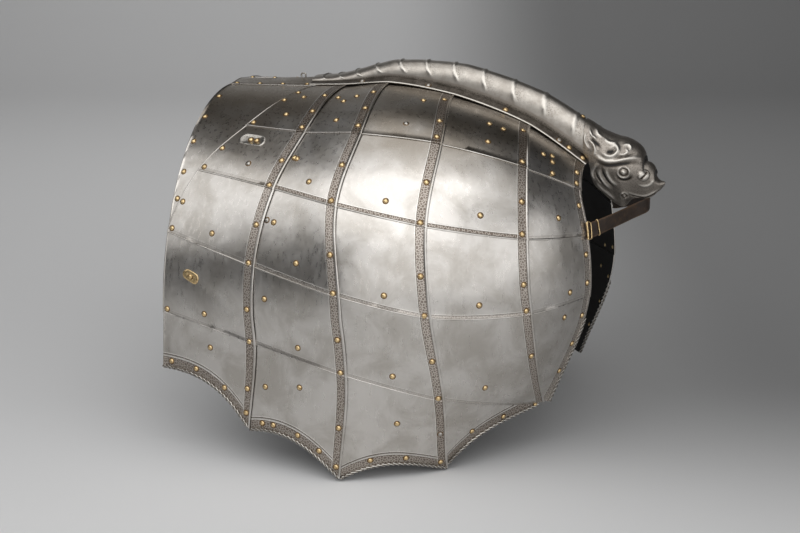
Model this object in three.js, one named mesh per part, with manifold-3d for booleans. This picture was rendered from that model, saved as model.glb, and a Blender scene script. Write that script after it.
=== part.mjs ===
// Horse crupper armour: the steel shell that covers a horse's hindquarters.
// Two sides of riveted lames stand under a hollow tail guard that ends in a sea monster's head.
// The horse faces -X, the left side is -Y, and the hem tips stand on z = 0. Lengths are in millimetres.
import * as THREE from "three";
import { mergeVertices } from "three/addons/utils/BufferGeometryUtils.js";
import Module from "manifold-3d";

const wasm = await Module();
wasm.setup();

// Driving sizes of the whole shell
const LENGTH = 868; // front edge to the tip of the monster's lip
const HALF_WIDTH = 395; // centre plane to the widest rib
const RIDGE_HEIGHT = 674; // hem tips to the top of the steel ridge
const RIDGE_HALF = 45; // centre plane to the edge of the ridge band
const RIDGE_LAP = 25; // how far a top lame runs in under the ridge band
const PLATE = 1; // steel sheet
const LAYER_GAP = 0.35; // air between two sheets that lie on each other
const LAP = 0.1; // share of a lame that its neighbour hides
const CREASE = 0.25; // 0 for a round shell, 1 for flat lames between the ribs
const SCALLOP = 32; // rise of a hem arc between two tips
const HEM_ROLL = 3; // height of the turned edge along the hem
const HEM_PROUD = 1.2; // how far the turned edge stands out

// The front plate's rear edge runs from the ridge down to the front edge at the third seam
const SEAM_START = 0.75; // its start on the ridge, as a share of column 1
const SEAM_BOW = 1.25; // how much it bows
const SEAM_ROWS = 3; // rows that it crosses

// Tail guard
const CREST = 57; // height of its back above the ridge
const FOOT_HALF = 27; // centre plane to the foot of its hollow body
const SCALES = 12; // overlapping scales along its back
const SCALE_GROWTH = 1.35; // how fast they lengthen towards the head
const SCALE_RELIEF = 2.6; // how far a scale's edge stands out
const SCALE_SLANT = 26; // how far a scale sweeps back from crest to foot
const GUARD_OVERLAP = 15; // front of the guard over the end of the spine strip

// Monster's head
const HEAD_LENGTH = 150;
const HEAD_HEIGHT = 100;
const HEAD_HALF = 46;
const HEAD_WALL = 1.6;
const EYE_RADIUS = 9;
const NOSTRIL_RADIUS = 8;

// Tail strap and its brass fittings
const STRAP_WIDTH = 28;
const STRAP_THICK = 2.4;
const STRAP_BOW = 84; // how far it stands out behind the rear edge
const STRAP_RISE = 22; // how far its middle stands above its ends
const STRAP_ROW = 1.88; // row line at the middle of its ends
const STRAP_LAP = 0.06; // share of column 5 that its ends cover
const BUCKLE_WIRE = 3;
const BUCKLE_LENGTH = 13;
const BUCKLE_MARGIN = 3; // bar ends beyond the strap's edges
const KEEPER_LENGTH = 5;
const KEEPER_WALL = 1.4;
const KEEPER_AT = 0.1; // share of the strap's length

// Small plates riveted on the left side
const OVAL_LENGTH = 58;
const OVAL_WIDTH = 26;
const OVAL_ACROSS = 0.33; // its middle, as a share of the front lame across
const OVAL_DOWN = 0.25; // and down
const SLOT_PLATE_LENGTH = 36;
const SLOT_PLATE_WIDTH = 22;
const SLOT_LENGTH = 12;
const SLOT_WIDTH = 5;
const SLOT_ACROSS = 0.31;
const SLOT_DOWN = 0.4;
const STAPLE_WIRE = 3;
const STAPLE_SPAN = 12;
const STAPLE_RISE = 9;
const STAPLE_BACK = 42; // distance in front of the guard

// How the sheets are stacked
const ROW_STEP = PLATE + LAYER_GAP; // a lame under the one above it
const COLUMN_STEP = 2 * ROW_STEP; // a column under the one in front of it

// One rib in each row, from the front edge to the rear edge. top, waist, hem and heights are shares of RIDGE_HEIGHT,
// wide and foot of HALF_WIDTH, along of LENGTH. heights are those of the four seams, and along goes
// from the ridge over the seams to the hem. round is the arch's roundness, peak the slope of the ridge band
// and crest the tail guard's height as a share of CREST.
const RIBS = [
  {
    name: "front", top: 0.972, waist: 0.386, hem: 0.248, wide: 0.891, foot: 0.911, round: 2, peak: 0.1, crest: -0.4,
    heights: [0.905, 0.791, 0.623, 0.405], along: [-0.486, -0.49, -0.493, -0.4965, -0.499, -0.5],
  },
  {
    name: "shoulder", top: 0.985, waist: 0.43, hem: 0.104, wide: 0.962, foot: 0.975, round: 2.1, peak: 0.3, crest: 0.35,
    heights: [0.899, 0.764, 0.564, 0.352], along: [-0.206, -0.218, -0.251, -0.274, -0.271, -0.289],
  },
  {
    name: "middle", top: 0.997, waist: 0.445, hem: 0, wide: 1, foot: 1, round: 2.1, peak: 0.5, crest: 0.65,
    heights: [0.908, 0.739, 0.512, 0.297], along: [-0.106, -0.088, -0.101, -0.077, -0.062, -0.081],
  },
  {
    name: "haunch", top: 0.972, waist: 0.49, hem: 0, wide: 0.899, foot: 0.709, round: 2.1, peak: 0.5, crest: 0.93,
    heights: [0.887, 0.696, 0.461, 0.223], along: [0.044, 0.081, 0.084, 0.104, 0.126, 0.116],
  },
  {
    name: "tail", top: 0.898, waist: 0.519, hem: 0.153, wide: 0.646, foot: 0.385, round: 2.1, peak: 0.5, crest: 1,
    heights: [0.82, 0.65, 0.45, 0.153], along: [0.215, 0.249, 0.27, 0.285, 0.289, 0.289],
  },
  {
    name: "rear", top: 0.798, waist: 0.593, hem: 0.153, wide: 0.304, foot: 0.367, round: 2, peak: 0.5, crest: 1.02,
    heights: [0.742, 0.625, 0.457, 0.153], along: [0.336, 0.342, 0.366, 0.374, 0.297, 0.297],
  },
];
// One column of lames in each row: how many lames, and its hem arc's rise as a share of SCALLOP
const COLUMNS = [
  { lames: 5, scallop: 1 },
  { lames: 5, scallop: 1 },
  { lames: 5, scallop: 1 },
  { lames: 5, scallop: 0.7 },
  { lames: 4, scallop: 0 },
];
const HEM_ROW = 5;
const HEM_COLUMNS = 4;
const TIP_TRIM = 0.06; // the last hem lame stops this share short of the tip where two ribs meet

// Sections of the monster's head from the neck to the lip. along is a share of HEAD_LENGTH, top, waist and
// bottom of HEAD_HEIGHT above the rear end of the ridge, half and under of HEAD_HALF.
const HEAD_SECTIONS = [
  { name: "neck", along: 0, top: 0.785, waist: 0.3, bottom: 0.2, half: 0.78, under: 0.74 },
  { name: "seat", along: 0.06, top: 0.74, waist: 0.24, bottom: 0.11, half: 0.82, under: 0.76 },
  { name: "collar", along: 0.1, top: 0.7, waist: 0.15, bottom: -0.03, half: 0.86, under: 0.8 },
  { name: "gill", along: 0.17, top: 0.63, waist: 0.05, bottom: -0.42, half: 0.94, under: 0.62 },
  { name: "jaw", along: 0.28, top: 0.56, waist: 0, bottom: -0.66, half: 1, under: 0.3 },
  { name: "cheek", along: 0.4, top: 0.5, waist: -0.04, bottom: -0.86, half: 1, under: 0.02 },
  { name: "chin", along: 0.5, top: 0.47, waist: -0.08, bottom: -0.8, half: 0.97, under: 0.02 },
  { name: "eye", along: 0.6, top: 0.41, waist: -0.12, bottom: -0.68, half: 0.92, under: 0.02 },
  { name: "brow", along: 0.68, top: 0.33, waist: -0.14, bottom: -0.66, half: 0.84, under: 0.02 },
  { name: "notch", along: 0.75, top: 0.08, waist: -0.18, bottom: -0.66, half: 0.72, under: 0.02 },
  { name: "nose", along: 0.83, top: 0, waist: -0.24, bottom: -0.62, half: 0.6, under: 0.02 },
  { name: "nose_end", along: 0.89, top: -0.16, waist: -0.32, bottom: -0.54, half: 0.42, under: 0.02 },
  { name: "lip", along: 0.95, top: -0.3, waist: -0.38, bottom: -0.48, half: 0.28, under: 0.02 },
  { name: "lip_tip", along: 1, top: -0.32, waist: -0.35, bottom: -0.39, half: 0.1, under: 0.02 },
];
// Raised eye and nostril bosses: along, up and out are shares as in the head's sections
const HEAD_BOSSES = [
  { name: "eye", along: 0.53, up: -0.1, out: 0.93, radius: EYE_RADIUS },
  { name: "nostril", along: 0.76, up: -0.16, out: 0.64, radius: NOSTRIL_RADIUS },
];
// The strap's line from the left end round the back: back is a share of STRAP_BOW, across of the half distance
// between its ends, with the left end at -1, and rise of STRAP_RISE
const STRAP_ROUTE = [
  { back: 0.38, across: -0.55, rise: 0.32 },
  { back: 0.73, across: -0.08, rise: 0.68 },
  { back: 1, across: 0.25, rise: 1 },
  { back: 0.87, across: 0.59, rise: 0.86 },
  { back: 0.42, across: 0.86, rise: 0.5 },
];

const LAST_RIB = RIBS.length - 1;
const EPSILON = 0.02;

const finish = (color, roughness, metalness) => new THREE.MeshStandardMaterial({ color, roughness, metalness });
const STEEL = finish(0x9a9792, 0.38, 1);
const EMBOSSED = finish(0x77726c, 0.42, 1);
const BRASS = finish(0xb08a4a, 0.35, 1);
const LEATHER = finish(0x4a3a2c, 0.75, 0);

const group = new THREE.Group();

function addPiece(name, geometry, material) {
  const mesh = new THREE.Mesh(geometry, material);
  mesh.name = name;
  group.add(mesh);
}

// Curves through the rib table

// Slopes of a curve through the knots. ordered keeps it from passing over a knot and coming back.
function knotSlopes(knots, values, ordered) {
  const steps = knots.slice(1).map((knot, i) => (values[i + 1] - values[i]) / (knot - knots[i]));
  return knots.map((knot, i) => {
    if (i === 0) return steps[0];
    if (i === knots.length - 1) return steps[i - 1];
    const before = steps[i - 1];
    const after = steps[i];
    if (ordered) return before * after > 0 ? (2 * before * after) / (before + after) : 0;
    const first = knot - knots[i - 1];
    const second = knots[i + 1] - knot;
    return (before * second + after * first) / (first + second);
  });
}

function hermite(f) {
  const cube = f * f * f;
  const square = f * f;
  return {
    start: 2 * cube - 3 * square + 1,
    leave: cube - 2 * square + f,
    end: 3 * square - 2 * cube,
    arrive: cube - square,
  };
}

function curveAt(knots, values, slopes, at) {
  let i = 0;
  while (i < knots.length - 2 && at >= knots[i + 1]) i += 1;
  const span = knots[i + 1] - knots[i];
  const weight = hermite((at - knots[i]) / span);
  const ends = values[i] * weight.start + values[i + 1] * weight.end;
  return ends + span * (slopes[i] * weight.leave + slopes[i + 1] * weight.arrive);
}

// A rib is an arch from the ridge to its waist, where turn is 1, and a slightly curved leg to the hem, where turn is 2
function makeRib(row) {
  const top = row.top * RIDGE_HEIGHT;
  const waist = row.waist * RIDGE_HEIGHT;
  const hem = row.hem * RIDGE_HEIGHT;
  const wide = row.wide * HALF_WIDTH;
  const foot = row.foot * HALF_WIDTH;
  const power = 2 / row.round;
  const turnAt = (height) => {
    if (height < waist) return 1 + (waist - height) / (waist - hem);
    return Math.acos(((height - waist) / (top - waist)) ** (1 / power)) / (Math.PI / 2);
  };
  const turns = [0, ...row.heights.map((share) => turnAt(share * RIDGE_HEIGHT)), 2];
  const rows = turns.map((turn, i) => i);
  const turnSlopes = knotSlopes(rows, turns, true);
  const ends = turns[turns.length - 2] === 2 ? turns.length - 1 : turns.length;
  const alongTurns = turns.slice(0, ends);
  const along = row.along.slice(0, ends).map((share) => share * LENGTH);
  const alongSlopes = knotSlopes(alongTurns, along, false);

  const pointAt = (turn) => {
    const x = curveAt(alongTurns, along, alongSlopes, turn);
    if (turn <= 1) {
      const angle = (turn * Math.PI) / 2;
      const y = RIDGE_HALF + (wide - RIDGE_HALF) * Math.sin(angle) ** power;
      return new THREE.Vector3(x, -y, waist + (top - waist) * Math.max(Math.cos(angle), 0) ** power);
    }
    const down = turn - 1;
    return new THREE.Vector3(x, -(wide + (foot - wide) * down * down), waist - (waist - hem) * down);
  };
  const turnOf = (rowLine) => curveAt(rows, turns, turnSlopes, Math.max(rowLine, 0));
  return {
    at: (rowLine) => pointAt(turnOf(rowLine)),
    downAt: (rowLine) => {
      const turn = THREE.MathUtils.clamp(turnOf(rowLine), EPSILON, 2 - EPSILON);
      return pointAt(turn + EPSILON).sub(pointAt(turn - EPSILON)).normalize();
    },
  };
}
const ribs = RIBS.map(makeRib);

// The shell's surface on the left side. s counts the ribs from front to rear, t the row lines from the ridge down.

function archPoint(s, t) {
  const knots = ribs.map((rib) => rib.at(t));
  const chords = knots.slice(1).map((knot, i) => knot.clone().sub(knots[i]));
  const lengths = chords.map((chord) => chord.length());
  const ways = chords.map((chord) => chord.clone().normalize());
  const bends = knots.map((knot, i) => {
    if (i === 0) return ways[0].clone();
    if (i === LAST_RIB) return ways[LAST_RIB - 1].clone();
    const blend = ways[i - 1].clone().multiplyScalar(lengths[i]).addScaledVector(ways[i], lengths[i - 1]);
    return blend.divideScalar(lengths[i - 1] + lengths[i]);
  });
  bends[0].multiplyScalar(1.5).addScaledVector(bends[1], -0.5);
  bends[LAST_RIB].multiplyScalar(1.5).addScaledVector(bends[LAST_RIB - 1], -0.5);
  const i = THREE.MathUtils.clamp(Math.floor(s), 0, LAST_RIB - 1);
  const weight = hermite(s - i);
  const leave = bends[i].clone().lerp(ways[i], CREASE).multiplyScalar(lengths[i] * weight.leave);
  const arrive = bends[i + 1].clone().lerp(ways[i], CREASE).multiplyScalar(lengths[i] * weight.arrive);
  return knots[i].clone().multiplyScalar(weight.start)
    .addScaledVector(knots[i + 1], weight.end)
    .add(leave)
    .add(arrive);
}

const shareBetweenRibs = (column, s) => {
  const i = THREE.MathUtils.clamp(Math.floor(s), 0, LAST_RIB - 1);
  return THREE.MathUtils.lerp(RIBS[i][column], RIBS[i + 1][column], s - i);
};

// The ridge's centre line under its band: place, direction to the rear, and direction up and out
function ridgeFrame(s) {
  const here = archPoint(s, 0).setY(0);
  const rear = archPoint(s + EPSILON, 0).sub(archPoint(s - EPSILON, 0)).setY(0).normalize();
  return { here, rear, out: new THREE.Vector3(-rear.z, 0, rear.x) };
}

function ridgePoint(s, y, level) {
  const { here, out } = ridgeFrame(s);
  const rise = shareBetweenRibs("peak", s) * (RIDGE_HALF - Math.abs(y));
  return here.addScaledVector(out, rise + level).setY(y);
}

// Above the ridge band's edge the shell goes on flat under the band
function shellPoint(s, t) {
  if (t >= 0) return archPoint(s, t);
  return ridgePoint(s, -(RIDGE_HALF + (t / LAP) * RIDGE_LAP), 0);
}

function outwardAt(s, t) {
  const low = Math.max(s - EPSILON, 0);
  const high = Math.min(s + EPSILON, LAST_RIB);
  const along = shellPoint(high, t).sub(shellPoint(low, t));
  const i = THREE.MathUtils.clamp(Math.floor(s), 0, LAST_RIB - 1);
  const down = t > LAP
    ? ribs[i].downAt(t).lerp(ribs[i + 1].downAt(t), s - i)
    : shellPoint(s, t + EPSILON).sub(shellPoint(s, t - EPSILON));
  return down.cross(along).normalize();
}

const levelPoint = (s, t, level) => shellPoint(s, t).addScaledVector(outwardAt(s, t), level);

const frontSeam = (t) => SEAM_START * (1 - THREE.MathUtils.clamp(t / SEAM_ROWS, 0, 1)) ** SEAM_BOW;

// Row line of the hem: an arc between each two tips
const hemDepths = COLUMNS.slice(0, HEM_COLUMNS).map(({ scallop }, i) => {
  const height = shellPoint(i + 0.5, HEM_ROW).distanceTo(shellPoint(i + 0.5, HEM_ROW - 1));
  return (scallop * SCALLOP) / height;
});
function hemRow(s) {
  const i = THREE.MathUtils.clamp(Math.floor(s), 0, HEM_COLUMNS - 1);
  const f = THREE.MathUtils.clamp(s - i, 0, 1);
  return HEM_ROW - hemDepths[i] * 4 * f * (1 - f);
}

// Closed solids from grids

function signedVolume(positions, index) {
  const corners = [new THREE.Vector3(), new THREE.Vector3(), new THREE.Vector3()];
  let volume = 0;
  for (let i = 0; i < index.length; i += 3) {
    corners.forEach((corner, k) => corner.fromArray(positions, 3 * index[i + k]));
    volume += corners[0].dot(corners[1].cross(corners[2]));
  }
  return volume;
}

function solidFrom(positions, index) {
  const geometry = new THREE.BufferGeometry();
  geometry.setAttribute("position", new THREE.Float32BufferAttribute(positions, 3));
  geometry.setIndex(signedVolume(positions, index) > 0 ? index : index.reverse());
  return geometry;
}

// place(i, j, face) gives a point of the outer face, 0, or the inner face, 1. closed joins the last column to the first.
function sheetSolid(rows, columns, place, closed = false) {
  const positions = [];
  const index = [];
  const at = (face, i, j) => (face * rows + i) * columns + (j % columns);
  const quad = (a, b, c, d) => index.push(a, b, c, a, c, d);
  for (const face of [0, 1]) {
    for (let i = 0; i < rows; i += 1) {
      for (let j = 0; j < columns; j += 1) positions.push(...place(i, j, face).toArray());
    }
  }
  const spans = closed ? columns : columns - 1;
  for (let i = 0; i < rows - 1; i += 1) {
    for (let j = 0; j < spans; j += 1) {
      quad(at(0, i, j), at(0, i, j + 1), at(0, i + 1, j + 1), at(0, i + 1, j));
      quad(at(1, i, j), at(1, i + 1, j), at(1, i + 1, j + 1), at(1, i, j + 1));
    }
  }
  for (let j = 0; j < spans; j += 1) {
    quad(at(0, 0, j), at(1, 0, j), at(1, 0, j + 1), at(0, 0, j + 1));
    quad(at(0, rows - 1, j), at(0, rows - 1, j + 1), at(1, rows - 1, j + 1), at(1, rows - 1, j));
  }
  for (let i = 0; i < rows - 1 && !closed; i += 1) {
    quad(at(0, i, 0), at(0, i + 1, 0), at(1, i + 1, 0), at(1, i, 0));
    quad(at(0, i, columns - 1), at(1, i, columns - 1), at(1, i + 1, columns - 1), at(0, i + 1, columns - 1));
  }
  return solidFrom(positions, index);
}

function mirrored(geometry) {
  const copy = geometry.clone().scale(1, -1, 1);
  return solidFrom(Array.from(copy.attributes.position.array), Array.from(copy.index.array));
}

// Lames

const ACROSS = [0, 0.3, 0.6, 1 - LAP, 1]; // lines from a lame's front edge to its rear edge
const DOWN = [0, 0.45, 1 - LAP, 1]; // lines from its upper edge to its lower edge
const shade = (share) => Math.min(Math.max(share, 0) / (1 - LAP), 1);

// The lines of one lame: shares below 0 are its hidden front and upper margins
function lameLines(column, row) {
  const across = column === 1 ? ACROSS : [-LAP, ...ACROSS];
  const last = column === HEM_COLUMNS && row === HEM_ROW ? 1 - TIP_TRIM : 1;
  const down = row === HEM_ROW ? [...DOWN.slice(0, -1), "roll", 1] : DOWN;
  return { across: across.map((share) => Math.min(share, last)), down: [-LAP, ...down] };
}

function lamePlace(column, row, across, down) {
  let rowLine = row - 1 + down;
  let sideways = column - 1 + across;
  const top = Math.min(Math.max(rowLine, 0), HEM_ROW);
  if (column === 1) {
    const start = frontSeam(top);
    sideways = start + across * (1 - start);
  }
  if (row === HEM_ROW && down > 0) rowLine = row - 1 + down * (hemRow(sideways) - row + 1);
  const back = column === 1 ? 1 : shade(across);
  return { s: sideways, t: rowLine, level: -COLUMN_STEP * (1 - back) - ROW_STEP * (1 - shade(down)) };
}

function lameSolid(column, row) {
  const { across, down } = lameLines(column, row);
  const hemHeight = shellPoint(column - 0.5, HEM_ROW - 1).distanceTo(shellPoint(column - 0.5, HEM_ROW));
  const downShare = (i) => (down[i] === "roll" ? 1 - HEM_ROLL / hemHeight : down[i]);
  return sheetSolid(down.length, across.length, (i, j, face) => {
    const { s, t, level } = lamePlace(column, row, across[j], downShare(i));
    const proud = row === HEM_ROW && i >= down.length - 2 ? HEM_PROUD : 0;
    return levelPoint(s, t, level + (face === 0 ? proud : -PLATE));
  });
}

COLUMNS.forEach(({ lames }, i) => {
  for (let row = 1; row <= lames; row += 1) {
    const solid = lameSolid(i + 1, row);
    addPiece(`left_column${i + 1}_lame${row}`, solid, STEEL);
    addPiece(`right_column${i + 1}_lame${row}`, mirrored(solid), STEEL);
  }
});

// Front plate: one arch over the loins, under the first column's front edges

const seamLines = [];
for (let row = 0; row < SEAM_ROWS; row += 1) {
  DOWN.slice(0, -1).forEach((share) => seamLines.push(row + share));
}
const overRidge = [
  ...[...seamLines].reverse().map((t) => ({ side: 1, t })),
  { side: 1, t: -LAP },
  { side: 0, t: 0 },
  { side: -1, t: -LAP },
  ...seamLines.map((t) => ({ side: -1, t })),
];
const FRONT_ACROSS = [0, 0.35, 0.7, 1];

function frontPlacePoint(side, s, t, level) {
  if (side === 0) return ridgePoint(s, 0, level);
  const point = levelPoint(s, t, level);
  return side > 0 ? point : point.setY(-point.y);
}

const frontPlate = sheetSolid(overRidge.length, FRONT_ACROSS.length + 1, (i, j, face) => {
  const { side, t } = overRidge[i];
  const seam = frontSeam(t);
  const s = j < FRONT_ACROSS.length ? seam * FRONT_ACROSS[j] : seam + ACROSS[1] * (1 - seam) * LAP;
  return frontPlacePoint(side, s, t, -COLUMN_STEP - face * PLATE);
});
addPiece("front_plate", frontPlate, STEEL);

// Spine strip along the front plate's ridge

const ridgeLength = (from, to) => {
  const steps = 40;
  let length = 0;
  for (let i = 0; i < steps; i += 1) {
    const a = THREE.MathUtils.lerp(from, to, i / steps);
    const b = THREE.MathUtils.lerp(from, to, (i + 1) / steps);
    length += ridgeFrame(a).here.distanceTo(ridgeFrame(b).here);
  }
  return length;
};
const seamTop = frontSeam(0);
const shareOfLength = (length) => length / ridgeLength(0, 1);
const stripEnd = seamTop - shareOfLength(2 * LAYER_GAP + PLATE);
const stripStations = FRONT_ACROSS.map((share) => share * stripEnd);
const stripSides = [-RIDGE_HALF, RIDGE_LAP - RIDGE_HALF, 0, RIDGE_HALF - RIDGE_LAP, RIDGE_HALF];
const stripLevel = LAYER_GAP + PLATE - COLUMN_STEP;
addPiece(
  "spine_strip",
  sheetSolid(stripStations.length, stripSides.length, (i, j, face) =>
    ridgePoint(stripStations[i], stripSides[j], stripLevel - face * PLATE)),
  STEEL,
);

// Tail guard: a hollow back with a flange on each side, in overlapping scales

const guardStart = seamTop - shareOfLength(GUARD_OVERLAP);
const guardLength = ridgeLength(guardStart, LAST_RIB);
const guardTable = [];
const GUARD_SAMPLES = 200;
for (let i = 0, run = 0, last = null; i <= GUARD_SAMPLES; i += 1) {
  const s = THREE.MathUtils.lerp(guardStart, LAST_RIB, i / GUARD_SAMPLES);
  const { here } = ridgeFrame(s);
  if (last) run += here.distanceTo(last);
  last = here;
  guardTable.push({ s, run });
}
function stationAt(run) {
  const total = guardTable[GUARD_SAMPLES].run;
  const wanted = THREE.MathUtils.clamp(run, 0, total);
  const i = Math.max(guardTable.findIndex((entry) => entry.run >= wanted), 1);
  const before = guardTable[i - 1];
  const after = guardTable[i];
  return THREE.MathUtils.mapLinear(wanted, before.run, after.run, before.s, after.s);
}

const SCALE_SHARES = [0, 0.33, 0.66, 0.96];
const guardStations = [];
for (let scale = 0; scale < SCALES; scale += 1) {
  const start = guardLength * (scale / SCALES) ** SCALE_GROWTH;
  const end = guardLength * ((scale + 1) / SCALES) ** SCALE_GROWTH;
  SCALE_SHARES.forEach((share) => guardStations.push({ run: THREE.MathUtils.lerp(start, end, share), share }));
}
guardStations.push({ run: guardLength, share: 0 });

// Half section from the flange's edge over the foot to the crest: angle 0 is the foot, 90 the crest
const BODY_ANGLES = [0, 24, 54, 90];
const BODY_SQUARE = 0.85;
function guardHalf(s) {
  const peak = shareBetweenRibs("peak", s);
  const footHeight = peak * (RIDGE_HALF - FOOT_HALF);
  const crest = Math.max(shareBetweenRibs("crest", s) * CREST, peak * RIDGE_HALF + 2 * SCALE_RELIEF);
  const body = BODY_ANGLES.map((degrees) => {
    const angle = THREE.MathUtils.degToRad(degrees);
    return {
      y: FOOT_HALF * Math.max(Math.cos(angle), 0) ** BODY_SQUARE,
      h: footHeight + (crest - footHeight) * Math.sin(angle) ** BODY_SQUARE,
      relief: degrees > 0 ? 1 : 0,
      sweep: Math.cos(angle),
    };
  });
  return [{ y: RIDGE_HALF, h: 0, relief: 0, sweep: 0 }, ...body];
}
function guardSection(s) {
  const half = guardHalf(s);
  const other = half.slice(0, -1).reverse().map((point) => ({ ...point, y: -point.y }));
  const all = [...half, ...other];
  return all.map((point, i) => {
    const before = all[Math.max(i - 1, 0)];
    const after = all[Math.min(i + 1, all.length - 1)];
    const length = Math.hypot(after.y - before.y, after.h - before.h);
    return { ...point, outY: (after.h - before.h) / length, outH: (before.y - after.y) / length };
  });
}
const GUARD_POINTS = 2 * BODY_ANGLES.length + 1;
const tailGuard = sheetSolid(guardStations.length, GUARD_POINTS, (i, j, face) => {
  const { run, share } = guardStations[i];
  const fade = Math.min(run / SCALE_SLANT, (guardLength - run) / SCALE_SLANT, 1);
  const plain = guardSection(stationAt(run))[j];
  const s = stationAt(run + fade * SCALE_SLANT * plain.sweep * 0.5);
  const { y, h, outY, outH, relief } = guardSection(s)[j];
  const level = LAYER_GAP + relief * SCALE_RELIEF * share - face * PLATE;
  const { here, out } = ridgeFrame(s);
  return here.addScaledVector(out, h + outH * level).setY(y + outY * level);
});
addPiece("tail_guard", tailGuard, EMBOSSED);

// Monster's head: a hollow hood over the guard's end, closed under the jaw

const ridgeEnd = ridgeFrame(LAST_RIB).here;
const headStart = LENGTH / 2 - HEAD_LENGTH;
const HEAD_ANGLES = [0, 25, 50, 75, 100, 130, 160, 180]; // from the crest round to the lower edge
function headHalf(section) {
  const top = section.top * HEAD_HEIGHT;
  const waist = section.waist * HEAD_HEIGHT;
  const bottom = section.bottom * HEAD_HEIGHT;
  const half = section.half * HEAD_HALF;
  const under = section.under * HEAD_HALF;
  return HEAD_ANGLES.map((degrees) => {
    const angle = THREE.MathUtils.degToRad(degrees);
    const side = Math.abs(Math.sin(angle)) ** 0.9;
    if (degrees <= 90) return { y: half * side, z: waist + (top - waist) * Math.abs(Math.cos(angle)) ** 0.9 };
    return { y: under + (half - under) * side, z: waist + (waist - bottom) * Math.cos(angle) };
  });
}
function headRing(section) {
  const half = headHalf(section);
  return [...[...half].reverse().map((point) => ({ ...point, y: -point.y })), ...half.slice(1)];
}
function headPoint(i, j, face) {
  const ring = headRing(HEAD_SECTIONS[i]);
  const before = ring[Math.max(j - 1, 0)];
  const after = ring[Math.min(j + 1, ring.length - 1)];
  const length = Math.hypot(after.y - before.y, after.z - before.z);
  const wall = face * HEAD_WALL;
  const x = headStart + HEAD_SECTIONS[i].along * HEAD_LENGTH;
  const y = ring[j].y + ((after.z - before.z) / length) * wall;
  const z = ring[j].z - ((after.y - before.y) / length) * wall;
  return new THREE.Vector3(x, y, ridgeEnd.z + z);
}
const headShell = sheetSolid(HEAD_SECTIONS.length, 2 * HEAD_ANGLES.length - 1, headPoint);

function toManifold(geometry) {
  const bare = geometry.clone();
  bare.deleteAttribute("normal");
  bare.deleteAttribute("uv");
  const merged = mergeVertices(bare, 1e-4);
  return new wasm.Manifold(new wasm.Mesh({
    numProp: 3,
    vertProperties: Float32Array.from(merged.attributes.position.array),
    triVerts: Uint32Array.from(merged.index.array),
  }));
}
function fromManifold(solid) {
  const { vertProperties, triVerts } = solid.getMesh();
  return solidFrom(Array.from(vertProperties), Array.from(triVerts));
}
let head = toManifold(headShell);
HEAD_BOSSES.forEach(({ along, up, out, radius }) => {
  for (const side of [-1, 1]) {
    const ball = new THREE.SphereGeometry(radius, 10, 6);
    ball.translate(headStart + along * HEAD_LENGTH, side * out * HEAD_HALF, ridgeEnd.z + up * HEAD_HEIGHT);
    head = head.add(toManifold(ball));
  }
});
addPiece("tail_guard_head", fromManifold(head), EMBOSSED);

// Tail strap from the left rear edge round the tail to the right rear edge

const strapLevel = LAYER_GAP + STRAP_THICK / 2;
const strapFoot = levelPoint(LAST_RIB - STRAP_LAP, STRAP_ROW, strapLevel);
const strapEdge = levelPoint(LAST_RIB, STRAP_ROW, strapLevel);
const strapPoints = [
  strapFoot,
  strapEdge,
  ...STRAP_ROUTE.map(({ back, across, rise }) => new THREE.Vector3(
    strapEdge.x + back * STRAP_BOW,
    -across * strapEdge.y,
    strapEdge.z + rise * STRAP_RISE,
  )),
  strapEdge.clone().setY(-strapEdge.y),
  strapFoot.clone().setY(-strapFoot.y),
];
const strapCurve = new THREE.CatmullRomCurve3(strapPoints);
// Its width lies along the rear edge at both ends and stands upright between them
const edgeUp = ribs[LAST_RIB].downAt(STRAP_ROW).negate();
const STRAP_TURN = 0.25; // share of its length in which it comes upright
function strapFrame(share) {
  const along = strapCurve.getTangentAt(share);
  const end = share < 0.5 ? edgeUp.clone() : edgeUp.clone().setY(-edgeUp.y);
  const upright = THREE.MathUtils.smoothstep(Math.min(share, 1 - share), 0, STRAP_TURN);
  const rise = end.lerp(new THREE.Vector3(0, 0, 1), upright);
  const out = along.clone().cross(rise).normalize();
  return { here: strapCurve.getPointAt(share), along, out, up: out.clone().cross(along) };
}
const STRAP_STEPS = 22;
const strap = sheetSolid(STRAP_STEPS + 1, 2, (i, j, face) => {
  const { here, out, up } = strapFrame(i / STRAP_STEPS);
  return here.addScaledVector(up, (j - 0.5) * STRAP_WIDTH).addScaledVector(out, (0.5 - face) * STRAP_THICK);
});
addPiece("tail_strap", strap, LEATHER);

// A flat frame standing across or lying on the strap: outer and hole sizes along and up, thickness out
function frameSolid(length, width, holeLength, holeWidth, thick) {
  const outline = new THREE.Shape([
    new THREE.Vector2(-length / 2, -width / 2), new THREE.Vector2(length / 2, -width / 2),
    new THREE.Vector2(length / 2, width / 2), new THREE.Vector2(-length / 2, width / 2),
  ]);
  outline.holes.push(new THREE.Path([
    new THREE.Vector2(-holeLength / 2, -holeWidth / 2), new THREE.Vector2(-holeLength / 2, holeWidth / 2),
    new THREE.Vector2(holeLength / 2, holeWidth / 2), new THREE.Vector2(holeLength / 2, -holeWidth / 2),
  ]));
  return new THREE.ExtrudeGeometry(outline, { depth: thick, bevelEnabled: false }).translate(0, 0, -thick / 2);
}

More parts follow.
